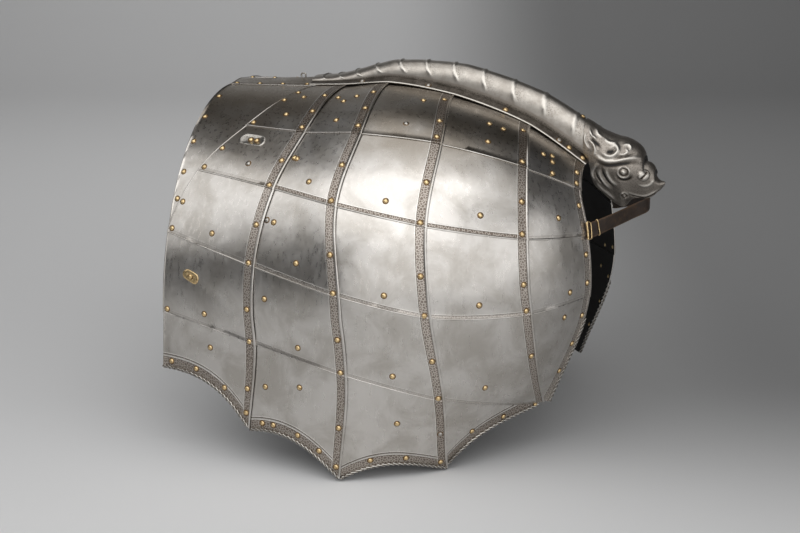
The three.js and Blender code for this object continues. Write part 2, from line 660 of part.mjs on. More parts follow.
// Buckle: its frame lies on the strap just behind the rear edge's border
const buckleAt = strapFrame(0.02);
const buckle = frameSolid(
  BUCKLE_LENGTH,
  STRAP_WIDTH + 2 * (BUCKLE_MARGIN + LAYER_GAP),
  BUCKLE_LENGTH - 2 * BUCKLE_WIRE,
  STRAP_WIDTH,
  BUCKLE_WIRE,
);
buckle.applyMatrix4(new THREE.Matrix4().makeBasis(buckleAt.along, buckleAt.up, buckleAt.out));
const buckleLift = STRAP_THICK / 2 + 2 * LAYER_GAP + BUCKLE_WIRE / 2;
buckle.translate(...buckleAt.here.clone().addScaledVector(buckleAt.out, buckleLift).toArray());
addPiece("strap_buckle", buckle, BRASS);

// Keeper: a brass loop round the strap
const keeperAt = strapFrame(KEEPER_AT);
const keeper = frameSolid(
  STRAP_THICK + 2 * (2 * LAYER_GAP + KEEPER_WALL),
  STRAP_WIDTH + 2 * (LAYER_GAP + KEEPER_WALL),
  STRAP_THICK + 4 * LAYER_GAP,
  STRAP_WIDTH + 2 * LAYER_GAP,
  KEEPER_LENGTH,
);
keeper.applyMatrix4(new THREE.Matrix4().makeBasis(keeperAt.out, keeperAt.up, keeperAt.along.clone().negate()));
keeper.translate(...keeperAt.here.toArray());
addPiece("strap_keeper", keeper, BRASS);

// Small plates that follow a lame of the left side

// A point of the lame's own faceted outer face, raised by level
function onLame(column, row, across, down, level) {
  const lines = lameLines(column, row);
  const cell = (list, share) => THREE.MathUtils.clamp(list.findIndex((line) => line > share) - 1, 0, list.length - 2);
  const i = cell(lines.down, down);
  const j = cell(lines.across, across);
  const corner = (a, b) => {
    const place = lamePlace(column, row, lines.across[j + b], lines.down[i + a]);
    return levelPoint(place.s, place.t, place.level);
  };
  const f = (across - lines.across[j]) / (lines.across[j + 1] - lines.across[j]);
  const g = (down - lines.down[i]) / (lines.down[i + 1] - lines.down[i]);
  const upper = corner(0, 0).lerp(corner(0, 1), f);
  const lower = corner(1, 0).lerp(corner(1, 1), f);
  const place = lamePlace(column, row, across, down);
  return upper.lerp(lower, g).addScaledVector(outwardAt(place.s, place.t), level);
}

// A flat frame that touches the lame at the given shares: long goes to the rear, wide goes up
function seatOn(column, row, across, down, level) {
  const step = EPSILON;
  const here = onLame(column, row, across, down, 0);
  const long = onLame(column, row, across + step, down, 0).sub(onLame(column, row, across - step, down, 0)).normalize();
  const place = lamePlace(column, row, across, down);
  const out = outwardAt(place.s, place.t);
  const wide = out.clone().cross(long).normalize();
  const trueOut = long.clone().cross(wide).normalize();
  here.addScaledVector(trueOut, level);
  return new THREE.Matrix4().makeBasis(long, wide, trueOut).setPosition(here);
}

function ovalShape(length, width) {
  const straight = (length - width) / 2;
  const shape = new THREE.Shape();
  shape.absarc(straight, 0, width / 2, -Math.PI / 2, Math.PI / 2, false);
  shape.absarc(-straight, 0, width / 2, Math.PI / 2, (3 * Math.PI) / 2, false);
  return shape;
}
const OVAL_SEGMENTS = 8;
const SEAT_RISE = 2 * LAYER_GAP;

const oval = new THREE.ExtrudeGeometry(ovalShape(OVAL_LENGTH, OVAL_WIDTH), {
  depth: PLATE, bevelEnabled: false, curveSegments: OVAL_SEGMENTS,
});
oval.applyMatrix4(seatOn(1, 2, OVAL_ACROSS, OVAL_DOWN, SEAT_RISE));
addPiece("left_oval_plate", oval, STEEL);

const slotPlateShape = ovalShape(SLOT_PLATE_LENGTH, SLOT_PLATE_WIDTH);
slotPlateShape.holes.push(new THREE.Path(ovalShape(SLOT_LENGTH, SLOT_WIDTH).getPoints(OVAL_SEGMENTS).reverse()));
const slotPlate = new THREE.ExtrudeGeometry(slotPlateShape, {
  depth: PLATE, bevelEnabled: false, curveSegments: OVAL_SEGMENTS,
});
slotPlate.applyMatrix4(seatOn(1, 4, SLOT_ACROSS, SLOT_DOWN, SEAT_RISE));
addPiece("left_slot_plate", slotPlate, BRASS);

// Staple on the spine strip, in front of the tail guard
const stapleShare = stripEnd - shareOfLength(STAPLE_BACK);
const stapleFrame = ridgeFrame(stapleShare);
const stapleLegs = new THREE.Shape([
  new THREE.Vector2(-STAPLE_SPAN / 2, 0), new THREE.Vector2(-STAPLE_SPAN / 2 + STAPLE_WIRE, 0),
  new THREE.Vector2(-STAPLE_SPAN / 2 + STAPLE_WIRE, STAPLE_RISE - STAPLE_WIRE),
  new THREE.Vector2(STAPLE_SPAN / 2 - STAPLE_WIRE, STAPLE_RISE - STAPLE_WIRE),
  new THREE.Vector2(STAPLE_SPAN / 2 - STAPLE_WIRE, 0), new THREE.Vector2(STAPLE_SPAN / 2, 0),
  new THREE.Vector2(STAPLE_SPAN / 2, STAPLE_RISE), new THREE.Vector2(-STAPLE_SPAN / 2, STAPLE_RISE),
]);
const staple = new THREE.ExtrudeGeometry(stapleLegs, { depth: STAPLE_WIRE, bevelEnabled: false });
staple.translate(0, 0, -STAPLE_WIRE / 2);
staple.applyMatrix4(new THREE.Matrix4().makeBasis(
  stapleFrame.rear,
  stapleFrame.out,
  stapleFrame.rear.clone().cross(stapleFrame.out),
));
const stapleBase = ridgePoint(stapleShare, 0, stripLevel + LAYER_GAP);
staple.translate(...stapleBase.toArray());
addPiece("spine_staple", staple, STEEL);

// The origin is on the ground under the middle of the shell
const bounds = new THREE.Box3().setFromObject(group);
group.position.set(-(bounds.min.x + bounds.max.x) / 2, 0, -bounds.min.z);

export default group;
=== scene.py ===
"""Looks of a steel horse crupper armour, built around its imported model.

The shell of riveted lames, the tail guard and its sea monster's head are rebuilt here as fine meshes on the
same surface as the solids. Lengths inside the classes are millimetres, and meshes are written in metres.
"""

import logging
import math
from dataclasses import dataclass, field
from enum import Enum
from functools import partial
from typing import Any, Callable, Sequence

import bpy
import numpy as np
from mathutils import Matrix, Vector


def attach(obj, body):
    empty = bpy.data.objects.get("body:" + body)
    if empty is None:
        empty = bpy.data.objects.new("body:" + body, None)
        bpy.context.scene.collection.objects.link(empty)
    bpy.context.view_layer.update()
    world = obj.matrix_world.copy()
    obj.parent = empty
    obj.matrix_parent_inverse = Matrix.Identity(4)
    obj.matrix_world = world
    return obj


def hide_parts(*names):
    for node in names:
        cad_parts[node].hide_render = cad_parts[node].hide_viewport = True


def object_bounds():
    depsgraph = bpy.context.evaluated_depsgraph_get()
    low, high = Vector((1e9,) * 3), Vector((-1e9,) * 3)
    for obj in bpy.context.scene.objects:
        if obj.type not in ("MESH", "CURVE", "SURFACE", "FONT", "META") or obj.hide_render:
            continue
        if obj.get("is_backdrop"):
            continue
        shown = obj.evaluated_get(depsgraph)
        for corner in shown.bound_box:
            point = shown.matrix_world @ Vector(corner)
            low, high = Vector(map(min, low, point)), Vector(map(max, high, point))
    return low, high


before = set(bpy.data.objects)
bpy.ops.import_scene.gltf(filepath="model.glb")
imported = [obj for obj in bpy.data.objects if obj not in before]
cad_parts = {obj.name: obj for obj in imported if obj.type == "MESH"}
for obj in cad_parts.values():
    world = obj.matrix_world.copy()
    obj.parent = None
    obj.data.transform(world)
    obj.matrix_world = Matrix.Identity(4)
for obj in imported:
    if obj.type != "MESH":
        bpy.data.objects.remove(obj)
CAD_BOX = [list(corner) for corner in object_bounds()]

log = logging.getLogger("crupper")
Array = np.ndarray
Tree = bpy.types.NodeTree
Node = bpy.types.Node
Material = bpy.types.Material
Mesh = bpy.types.Mesh
Piece = bpy.types.Object
AddNode = Callable[..., Node]
MM = 0.001
FLIP = np.array([1, -1, 1])  # turns left to right


class Side(Enum):
    """Which side of the horse a piece is on."""

    LEFT = -1
    RIGHT = 1


class Carve(Enum):
    """How a chased line changes the steel of the monster's head."""

    RIDGE = 1
    GROOVE = -1


# Small helpers


def unit(vectors: Array) -> Array:
    """Returns the vectors at length 1."""
    return vectors / np.maximum(np.linalg.norm(vectors, axis=-1, keepdims=True), 1e-9)


def smooth(low: float, high: float, value: Array) -> Array:
    """Returns a soft step from 0 at low to 1 at high."""
    share = np.clip((np.asarray(value, float) - low) / (high - low), 0, 1)
    return share * share * (3 - 2 * share)


def blend_between(low: Array, high: Array, share: Array) -> Array:
    """Returns the point at a share of the way from low to high."""
    return low + (high - low) * share


def run_along(points: Array) -> Array:
    """Returns how far each point of a line is from its first."""
    return np.concatenate([[0], np.cumsum(np.linalg.norm(np.diff(points, axis=0), axis=1))])


def half_round(distance: Array, width: float) -> Array:
    """Returns the height, 0 to 1, of a half round bead at a distance from its edge."""
    share = np.clip(distance / width, 0, 1)
    return np.sqrt(np.clip(1 - (2 * share - 1) ** 2, 0, 1))


def bead_lines(width: float, count: int) -> Array:
    """Returns the distances from 0 to a bead's width at which its grid lines lie."""
    return width * (1 - np.cos(np.linspace(0, math.pi, count))) / 2


def knot_slopes(knots: Array, values: Array, ordered: bool) -> Array:
    """Finds the slopes of a curve through knots.

    Args:
        knots: places of the knots, rising.
        values: the value at each knot.
        ordered: True keeps the curve from passing over a knot and coming back.

    Returns:
        One slope for each knot.
    """
    steps = np.diff(values) / np.diff(knots)
    slopes = np.empty(len(knots))
    slopes[0], slopes[-1] = steps[0], steps[-1]
    before, after = steps[:-1], steps[1:]
    if ordered:
        product = before * after
        total = np.where(product > 0, before + after, 1)
        slopes[1:-1] = np.where(product > 0, 2 * product / total, 0)
    else:
        first, second = np.diff(knots)[:-1], np.diff(knots)[1:]
        slopes[1:-1] = (before * second + after * first) / (first + second)
    return slopes


def hermite(share: Array) -> tuple[Array, Array, Array, Array]:
    """Returns the weights of a cubic's start, its leaving slope, its end and its arriving slope."""
    square = share * share
    cube = square * share
    return 2 * cube - 3 * square + 1, cube - 2 * square + share, 3 * square - 2 * cube, cube - square


def curve_at(knots: Array, values: Array, slopes: Array, at: Array) -> Array:
    """Returns the curve's value at each given place."""
    i = np.clip(np.searchsorted(knots, at, side="right") - 1, 0, len(knots) - 2)
    span = knots[i + 1] - knots[i]
    start, leave, end, arrive = hermite((at - knots[i]) / span)
    return values[i] * start + values[i + 1] * end + span * (slopes[i] * leave + slopes[i + 1] * arrive)


def spline(points: Sequence[Sequence[float]], count: int) -> Array:
    """Runs a smooth line through a few points.

    Args:
        points: the points that it passes.
        count: how many points to return, at even steps of length.

    Returns:
        An array of count points.
    """
    knots_in = np.asarray(points, float)
    steps = np.linalg.norm(np.diff(knots_in, axis=0), axis=1)
    knots = np.concatenate([[0], np.cumsum(np.sqrt(steps))])
    fine = np.linspace(0, knots[-1], max(count * 4, 60))
    lines = [curve_at(knots, v, knot_slopes(knots, v, False), fine) for v in knots_in.T]
    dense = np.stack(lines, axis=1)
    run = run_along(dense)
    even = np.linspace(0, run[-1], count)
    return np.stack([np.interp(even, run, column) for column in dense.T], axis=1)


# The shell's surface, as the solids have it


@dataclass(frozen=True)
class Rib:
    """One rib, as shares of the shell's height (heights), half width (wide, foot) and length (along)."""

    name: str
    top: float
    waist: float
    hem: float
    wide: float
    foot: float
    round: float
    peak: float
    crest: float
    heights: tuple[float, ...]
    along: tuple[float, ...]


RIBS = (
    Rib("front", 0.972, 0.386, 0.248, 0.891, 0.911, 2, 0.1, -0.4,
        (0.905, 0.791, 0.623, 0.405), (-0.486, -0.49, -0.493, -0.4965, -0.499, -0.5)),
    Rib("shoulder", 0.985, 0.43, 0.104, 0.962, 0.975, 2.1, 0.3, 0.35,
        (0.899, 0.764, 0.564, 0.352), (-0.206, -0.218, -0.251, -0.274, -0.271, -0.289)),
    Rib("middle", 0.997, 0.445, 0, 1, 1, 2.1, 0.5, 0.65,
        (0.908, 0.739, 0.512, 0.297), (-0.106, -0.088, -0.101, -0.077, -0.062, -0.081)),
    Rib("haunch", 0.972, 0.49, 0, 0.899, 0.709, 2.1, 0.5, 0.93,
        (0.887, 0.696, 0.461, 0.223), (0.044, 0.081, 0.084, 0.104, 0.126, 0.116)),
    Rib("tail", 0.898, 0.519, 0.153, 0.646, 0.385, 2.1, 0.5, 1,
        (0.82, 0.65, 0.45, 0.153), (0.215, 0.249, 0.27, 0.285, 0.289, 0.289)),
    Rib("rear", 0.798, 0.593, 0.153, 0.304, 0.367, 2, 0.5, 1.02,
        (0.742, 0.625, 0.457, 0.153), (0.336, 0.342, 0.366, 0.374, 0.297, 0.297)),
)
LAMES = (5, 5, 5, 5, 4)  # lames in each column
SCALLOPS = (1, 1, 1, 0.7)  # depth of each hem arc
LAST = len(RIBS) - 1
STEP = 0.02


class RibCurve:
    """One rib as a curve from the ridge, row line 0, to the hem, row line 5."""

    def __init__(self, rib: Rib, length: float, half_width: float, height: float, ridge_half: float) -> None:
        """Works out the rib's arch, its leg and where each row line crosses it."""
        self.ridge_half = ridge_half
        self.top = rib.top * height
        self.waist = rib.waist * height
        self.hem = rib.hem * height
        self.wide = rib.wide * half_width
        self.foot = rib.foot * half_width
        self.power = 2 / rib.round
        turns = [0.0, *(self.turn_at(share * height) for share in rib.heights), 2.0]
        self.rows = np.arange(6.0)
        self.turns = np.array(turns)
        self.turn_slopes = knot_slopes(self.rows, self.turns, True)
        count = 5 if turns[4] == 2 else 6
        self.along_turns = self.turns[:count]
        self.along = np.array(rib.along[:count]) * length
        self.along_slopes = knot_slopes(self.along_turns, self.along, False)

    def turn_at(self, height: float) -> float:
        """Returns the turn, 1 at the waist and 2 at the hem, that is at a height."""
        if height < self.waist:
            return 1 + (self.waist - height) / (self.waist - self.hem)
        share = (height - self.waist) / (self.top - self.waist)
        return math.acos(share ** (1 / self.power)) / (math.pi / 2)

    def point(self, turn: Array) -> Array:
        """Returns the rib's points at the given turns."""
        x = curve_at(self.along_turns, self.along, self.along_slopes, turn)
        angle = np.clip(turn, 0, 1) * math.pi / 2
        arch_y = self.ridge_half + (self.wide - self.ridge_half) * np.sin(angle) ** self.power
        arch_z = self.waist + (self.top - self.waist) * np.maximum(np.cos(angle), 0) ** self.power
        down = np.maximum(turn - 1, 0)
        y = np.where(turn <= 1, arch_y, self.wide + (self.foot - self.wide) * down * down)
        z = np.where(turn <= 1, arch_z, self.waist - (self.waist - self.hem) * down)
        return np.stack([x, -y, z], axis=-1)

    def turn_of(self, row_line: Array) -> Array:
        """Returns the turn at each row line."""
        return curve_at(self.rows, self.turns, self.turn_slopes, np.clip(row_line, 0, 5))

    def at(self, row_line: Array) -> Array:
        """Returns the rib's points at the given row lines."""
        return self.point(self.turn_of(row_line))

    def down_at(self, row_line: Array) -> Array:
        """Returns the rib's direction towards the hem."""
        turn = np.clip(self.turn_of(row_line), STEP, 2 - STEP)
        return unit(self.point(turn + STEP) - self.point(turn - STEP))


@dataclass
class ShellSurface:
    """The left half of the shell: s counts the ribs to the rear, t the row lines down from the ridge."""

    length: float = 868.0
    half_width: float = 395.0
    height: float = 674.0
    ridge_half: float = 45.0
    ridge_lap: float = 25.0
    lap: float = 0.1
    crease: float = 0.25
    scallop: float = 32.0
    seam_start: float = 0.75
    seam_bow: float = 1.25
    seam_rows: float = 3.0
    plate: float = 1.0
    layer_gap: float = 0.35
    shift_x: float = 0.16  # the solids' whole box is centred by these
    shift_z: float = 0.42
    ribs: list[RibCurve] = field(default_factory=list)
    hem_depths: list[float] = field(default_factory=list)

    def __post_init__(self) -> None:
        """Builds the ribs and the depth of each hem arc."""
        self.row_step = self.plate + self.layer_gap
        self.column_step = 2 * self.row_step
        sizes = (self.length, self.half_width, self.height, self.ridge_half)
        self.ribs = [RibCurve(rib, *sizes) for rib in RIBS]
        for i, share in enumerate(SCALLOPS):
            low, high = self.shell(np.array([i + 0.5, i + 0.5]), np.array([5.0, 4.0]))
            self.hem_depths.append(share * self.scallop / float(np.linalg.norm(low - high)))

    def arch(self, s: Array, t: Array) -> Array:
        """Returns points of the surface below the ridge band."""
        knots = np.stack([rib.at(t) for rib in self.ribs])
        chords = knots[1:] - knots[:-1]
        lengths = np.linalg.norm(chords, axis=-1, keepdims=True)
        ways = chords / lengths
        bends = np.empty_like(knots)
        blend = ways[:-1] * lengths[1:] + ways[1:] * lengths[:-1]
        bends[1:-1] = blend / (lengths[:-1] + lengths[1:])
        bends[0] = 1.5 * ways[0] - 0.5 * bends[1]
        bends[-1] = 1.5 * ways[-1] - 0.5 * bends[-2]
        i = np.clip(np.floor(s), 0, LAST - 1).astype(int)
        pick = np.arange(len(s))
        way, long = ways[i, pick], lengths[i, pick]
        start, leave, end, arrive = (weight[:, None] for weight in hermite(s - i))
        leaving = blend_between(bends[i, pick], way, self.crease) * long * leave
        arriving = blend_between(bends[i + 1, pick], way, self.crease) * long * arrive
        return knots[i, pick] * start + knots[i + 1, pick] * end + leaving + arriving

    def between_ribs(self, column: str, s: Array) -> Array:
        """Returns a value of the rib table between its ribs."""
        return np.interp(s, np.arange(LAST + 1), [getattr(rib, column) for rib in RIBS])

    def ridge_frame(self, s: Array) -> tuple[Array, Array, Array]:
        """Returns the ridge's centre line, its way to the rear and its way up and out."""
        zero = np.zeros_like(s)
        flat = np.array([1.0, 0.0, 1.0])
        rear = unit((self.arch(s + STEP, zero) - self.arch(s - STEP, zero)) * flat)
        out = np.stack([-rear[:, 2], zero, rear[:, 0]], axis=-1)
        return self.arch(s, zero) * flat, rear, out

    def ridge(self, s: Array, y: Array, level: Array) -> Array:
        """Returns points of the ridge band."""
        here, _, out = self.ridge_frame(s)
        rise = self.between_ribs("peak", s) * (self.ridge_half - np.abs(y))
        points = here + out * (rise + level)[:, None]
        points[:, 1] = y
        return points

    def shell(self, s: Array, t: Array) -> Array:
        """Returns points of the shell, flat under the ridge band where t is below 0."""
        below = self.arch(s, np.maximum(t, 0))
        if not np.any(t < 0):
            return below
        y = -(self.ridge_half + np.minimum(t, 0) / self.lap * self.ridge_lap)
        above = self.ridge(s, y, np.zeros_like(s))
        return np.where((t < 0)[:, None], above, below)

    def outward(self, s: Array, t: Array) -> Array:
        """Returns the surface's directions out."""
        along = self.shell(np.minimum(s + STEP, LAST), t) - self.shell(np.maximum(s - STEP, 0), t)
        downs = np.stack([rib.down_at(t) for rib in self.ribs])
        i = np.clip(np.floor(s), 0, LAST - 1).astype(int)
        pick = np.arange(len(s))
        low = blend_between(downs[i, pick], downs[i + 1, pick], (s - i)[:, None])
        high = self.shell(s, np.minimum(t + STEP, 5)) - self.shell(s, np.minimum(t, 5) - STEP)
        down = np.where((t > self.lap)[:, None], low, high)
        return unit(np.cross(down, along))

    def level(self, s: Array, t: Array, level: Array) -> Array:
        """Returns points at a level over the surface."""
        return self.shell(s, t) + self.outward(s, t) * np.broadcast_to(level, s.shape)[:, None]

    def front_seam(self, t: Array) -> Array:
        """Returns where the first column starts."""
        return self.seam_start * (1 - np.clip(t / self.seam_rows, 0, 1)) ** self.seam_bow

    def hem_row(self, s: Array) -> Array:
        """Returns the row line of the scalloped hem."""
        i = np.clip(np.floor(s), 0, len(SCALLOPS) - 1).astype(int)
        share = np.clip(s - i, 0, 1)
        return 5 - np.array(self.hem_depths)[i] * 4 * share * (1 - share)

    def lame_place(self, column: int, row: int, across: Array, down: Array) -> tuple[Array, Array, Array]:
        """Places a point of a lame.

        Args:
            column: column number, 1 at the front.
            row: row number, 1 at the ridge.
            across: share of the way from its front edge to its rear edge, below 0 in its hidden margin.
            down: share of the way from its upper edge to its lower edge, below 0 in its hidden margin.

        Returns:
            The surface place s and t and the level of the lame's outer face.
        """
        t = row - 1 + down
        s = column - 1 + across
        if column == 1:
            start = self.front_seam(np.clip(t, 0, 5))
            s = start + across * (1 - start)
        if row == 5:
            t = np.where(down > 0, row - 1 + down * (self.hem_row(s) - row + 1), t)
        full = 1 - self.lap
        back = 1.0 if column == 1 else np.clip(across / full, 0, 1)
        below = np.clip(down / full, 0, 1)
        return s, t, -self.column_step * (1 - back) - self.row_step * (1 - below)

    def lame_point(self, column: int, row: int, across: Array, down: Array, lift: Array) -> Array:
        """Returns points of a lame, lifted off its outer face."""
        s, t, level = self.lame_place(column, row, across, down)
        return self.level(s, t, level + lift)

    def placed(self, points: Array) -> Array:
        """Returns the points where the model's own origin has them."""
        return points + np.array([self.shift_x, 0, self.shift_z])


SHELL = ShellSurface()


# Meshes


@dataclass
class Sheet:
    """A closed sheet between two grids of points, each of rows by columns by 3, in millimetres."""

    name: str
    outer: Array
    inner: Array
    maps: dict[str, Array] = field(default_factory=dict)  # UV maps: rows by columns by 2, in metres
    values: dict[str, Array | float] = field(default_factory=dict)  # attributes: a grid or one number
    closed: bool = False
    mirror: bool = False
    sharp: float = 38.0

    def build(self, materials: Sequence[Material]) -> Piece:
        """Makes the sheet's object.

        Args:
            materials: the outer face's, and the inner face's if it has its own.

        Returns:
            The object, at the origin.
        """
        rows, columns = self.outer.shape[:2]
        points = np.concatenate([self.outer.reshape(-1, 3), self.inner.reshape(-1, 3)])
        points = SHELL.placed(points)
        if self.mirror:
            points = points * FLIP
        faces, slots = self.faces(rows, columns)
        if self.volume(points, faces) < 0:
            faces = faces[:, ::-1]
        mesh = bpy.data.meshes.new(self.name)
        mesh.from_pydata((points * MM).tolist(), [], faces.tolist())
        for map_name, grid in self.maps.items():
            both = np.concatenate([grid.reshape(-1, 2)] * 2)
            layer = mesh.uv_layers.new(name=map_name)
            corners = np.empty(len(mesh.loops), int)
            mesh.loops.foreach_get("vertex_index", corners)
            layer.data.foreach_set("uv", both[corners].ravel().astype(np.float32))
        for value_name, value in self.values.items():
            grid = np.broadcast_to(np.asarray(value, float), (rows, columns))
            attribute = mesh.attributes.new(value_name, "FLOAT", "POINT")
            attribute.data.foreach_set("value", np.concatenate([grid.ravel()] * 2).astype(np.float32))
        for material in materials:
            mesh.materials.append(material)
        if len(materials) > 1:
            mesh.polygons.foreach_set("material_index", slots)
        return finish_mesh(self.name, mesh, self.sharp)

    def faces(self, rows: int, columns: int) -> tuple[Array, Array]:
        """Returns the sheet's quads, and 1 for each that belongs to the inner face."""
        span = columns if self.closed else columns - 1
        i, j = np.meshgrid(np.arange(rows - 1), np.arange(span), indexing="ij")
        i, j = i.ravel(), j.ravel()
        k = (j + 1) % columns
        half = rows * columns
        here, below = i * columns, (i + 1) * columns
        outer = np.stack([here + j, here + k, below + k, below + j], axis=1)
        inner = outer[:, ::-1] + half
        rims = []
        for row, turn in ((0, 1), (rows - 1, -1)):
            a = row * columns + np.arange(span)
            b = row * columns + (np.arange(span) + 1) % columns
            rims.append(np.stack([a, a + half, b + half, b], axis=1)[:, ::turn])
        if not self.closed:
            for column, turn in ((0, -1), (columns - 1, 1)):
                a = np.arange(rows - 1) * columns + column
                b = a + columns
                rims.append(np.stack([a, a + half, b + half, b], axis=1)[:, ::turn])
        rim = np.concatenate(rims)
        slots = np.zeros(len(outer) + len(inner) + len(rim), int)
        slots[len(outer):len(outer) + len(inner)] = 1
        return np.concatenate([outer, inner, rim]), slots

    @staticmethod
    def volume(points: Array, faces: Array) -> float:
        """Returns six times the volume that the faces enclose, below 0 where they point inwards."""
        a, b, c, d = (points[faces[:, k]] for k in range(4))
        return float(np.sum(a * np.cross(b, c)) + np.sum(a * np.cross(c, d)))


def finish_mesh(name: str, mesh: Mesh, sharp: float) -> Piece:
    """Shades a mesh smooth up to an angle in degrees and returns its object."""
    mesh.validate()
    mesh.update()
    mesh.shade_smooth()
    mesh.set_sharp_from_angle(angle=math.radians(sharp))
    piece = bpy.data.objects.new(name, mesh)
    bpy.context.scene.collection.objects.link(piece)
    return piece


def dress(piece: Piece, slot: str, node: str = "") -> None:
    """Sets a piece on the part's body, in the place of its solid if it has one."""
    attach(piece, "root")
    if node:
        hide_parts(node)


def run_lengths(grid: Array, axis: int) -> Array:
    """Returns how far each point of a grid is along its line."""
    steps = np.linalg.norm(np.diff(grid, axis=axis), axis=-1)
    pad = [(0, 0), (0, 0)]
    pad[axis] = (1, 0)
    return np.cumsum(np.pad(steps, pad), axis=axis)


def tube_sheet(name: str, path: Array, up: Array, section: Array) -> Sheet:
    """Sweeps a closed section along a path.

    Args:
        name: the piece's name.
        path: points of the centre line.
        up: the section's second axis at each point.
        section: outline points, as distances along the side axis and the up axis.

    Returns:
        A solid sheet whose inner grid is the centre line.
    """
    along = unit(np.gradient(path, axis=0))
    side = unit(np.cross(up, along))
    true_up = np.cross(along, side)
    outer = path[:, None] + side[:, None] * section[None, :, :1] + true_up[:, None] * section[None, :, 1:]
    inner = np.repeat(path[:, None], len(section), axis=1)
    return Sheet(name, outer, inner, closed=True)


def ring_quads(rows: int, columns: int, looped: bool) -> list[list[int]]:
    """Returns the quads between neighbouring rings, and between the last and the first if looped."""
    faces = []
    for i in range(rows if looped else rows - 1):
        here, there = i * columns, (i + 1) % rows * columns
        for j in range(columns):
            k = (j + 1) % columns
            faces.append([here + j, here + k, there + k, there + j])
    return faces


def solid_from_rings(name: str, rings: Array, material: Material, sharp: float) -> Piece:
    """Closes a stack of rings, rows by columns by 3 in millimetres, into one solid with capped ends."""
    rows, columns = rings.shape[:2]
    caps = [rings[0].mean(axis=0), rings[-1].mean(axis=0)]
    points = SHELL.placed(np.concatenate([rings.reshape(-1, 3), caps]))
    faces = ring_quads(rows, columns, False)
    first, last = rows * columns, rows * columns + 1
    for j in range(columns):
        k = (j + 1) % columns
        faces.append([first, k, j])
        faces.append([last, (rows - 1) * columns + j, (rows - 1) * columns + k])
    triangles = [[f[0], f[i], f[i + 1]] for f in faces for i in range(1, len(f) - 1)]
    corners = points[np.array(triangles)]
    total = np.sum(corners[:, 0] * np.cross(corners[:, 1], corners[:, 2]))
    if total < 0:
        faces = [f[::-1] for f in faces]
    mesh = bpy.data.meshes.new(name)
    mesh.from_pydata((points * MM).tolist(), [], faces)
    mesh.materials.append(material)
    return finish_mesh(name, mesh, sharp)


# Node trees


def add_node(
    tree: Tree,
    kind: str,
    settings: dict[str, Any] | None = None,
    inputs: dict[str, Any] | list[Any] | None = None,
) -> Node:
    """Adds a node, with its settings and what its sockets hold.

    Args:
        tree: the tree that it goes in.
        kind: the node's type name.
        settings: the node's properties.
        inputs: what each input in use holds, by name or in order: a value, a hex colour, a socket or a node,
            which gives its first output.

    Returns:
        The node.
    """
    node = tree.nodes.new(kind)
    for key, value in (settings or {}).items():
        setattr(node, key, value)
    in_use = [socket for socket in node.inputs if socket.enabled]
    pairs = inputs.items() if isinstance(inputs, dict) else enumerate(inputs or [])
    for key, value in pairs:
        socket = in_use[key] if isinstance(key, int) else next(s for s in in_use if s.name == key)
        if isinstance(value, str) and value.startswith("#"):
            value = colour(value)
        if isinstance(value, Node):
            value = next(s for s in value.outputs if s.enabled)
        if isinstance(value, bpy.types.NodeSocket):
            tree.links.new(value, socket)
        else:
            socket.default_value = value
    return node


def colour(hex_code: str) -> tuple[float, float, float, float]:
    """Turns an sRGB hex colour to linear red, green, blue and alpha."""
    channels = [int(hex_code[i:i + 2], 16) / 255 for i in (1, 3, 5)]
    linear = [c / 12.92 if c <= 0.04045 else ((c + 0.055) / 1.055) ** 2.4 for c in channels]
    return (linear[0], linear[1], linear[2], 1.0)


def new_material(name: str) -> tuple[Material, AddNode]:
    """Returns a new empty material and the function that adds a node to it."""
    material = bpy.data.materials.new(name)
    material.use_nodes = True
    material.node_tree.nodes.clear()
    return material, partial(add_node, material.node_tree)


def new_geometry_tree(name: str, sockets: dict[str, tuple[str, Any]]) -> tuple[Tree, AddNode, Node]:
    """Starts a Geometry Nodes tree.

    Args:
        name: the tree's name.
        sockets: each input's name, with its socket type and its starting value.

    Returns:
        The tree, the function that adds a node to it, and its Group Input node.
    """
    tree = bpy.data.node_groups.new(name, "GeometryNodeTree")
    tree.interface.new_socket("Geometry", in_out="INPUT", socket_type="NodeSocketGeometry")
    tree.interface.new_socket("Geometry", in_out="OUTPUT", socket_type="NodeSocketGeometry")
    for label, (kind, value) in sockets.items():
        socket = tree.interface.new_socket(label, in_out="INPUT", socket_type=kind)
        if value is not None:
            socket.default_value = value
    add = partial(add_node, tree)
    return tree, add, add("NodeGroupInput")


def apply_tree(piece: Piece, tree: Tree, inputs: dict[str, Any]) -> Piece:
    """Runs a Geometry Nodes tree on a piece and keeps the result as its plain mesh.

    Args:
        piece: the mesh object that the tree starts from.
        tree: the tree.
        inputs: values of its named inputs.

    Returns:
        The same object, with no modifier.
    """
    modifier = piece.modifiers.new(tree.name, "NODES")
    modifier.node_group = tree
    for item in tree.interface.items_tree:
        if item.item_type == "SOCKET" and item.in_out == "INPUT" and item.name in inputs:
            modifier[item.identifier] = inputs[item.name]
    bpy.context.view_layer.update()
    depsgraph = bpy.context.evaluated_depsgraph_get()
    mesh = bpy.data.meshes.new_from_object(piece.evaluated_get(depsgraph), depsgraph=depsgraph)
    piece.modifiers.clear()
    piece.data = mesh
    return piece


# Finishes


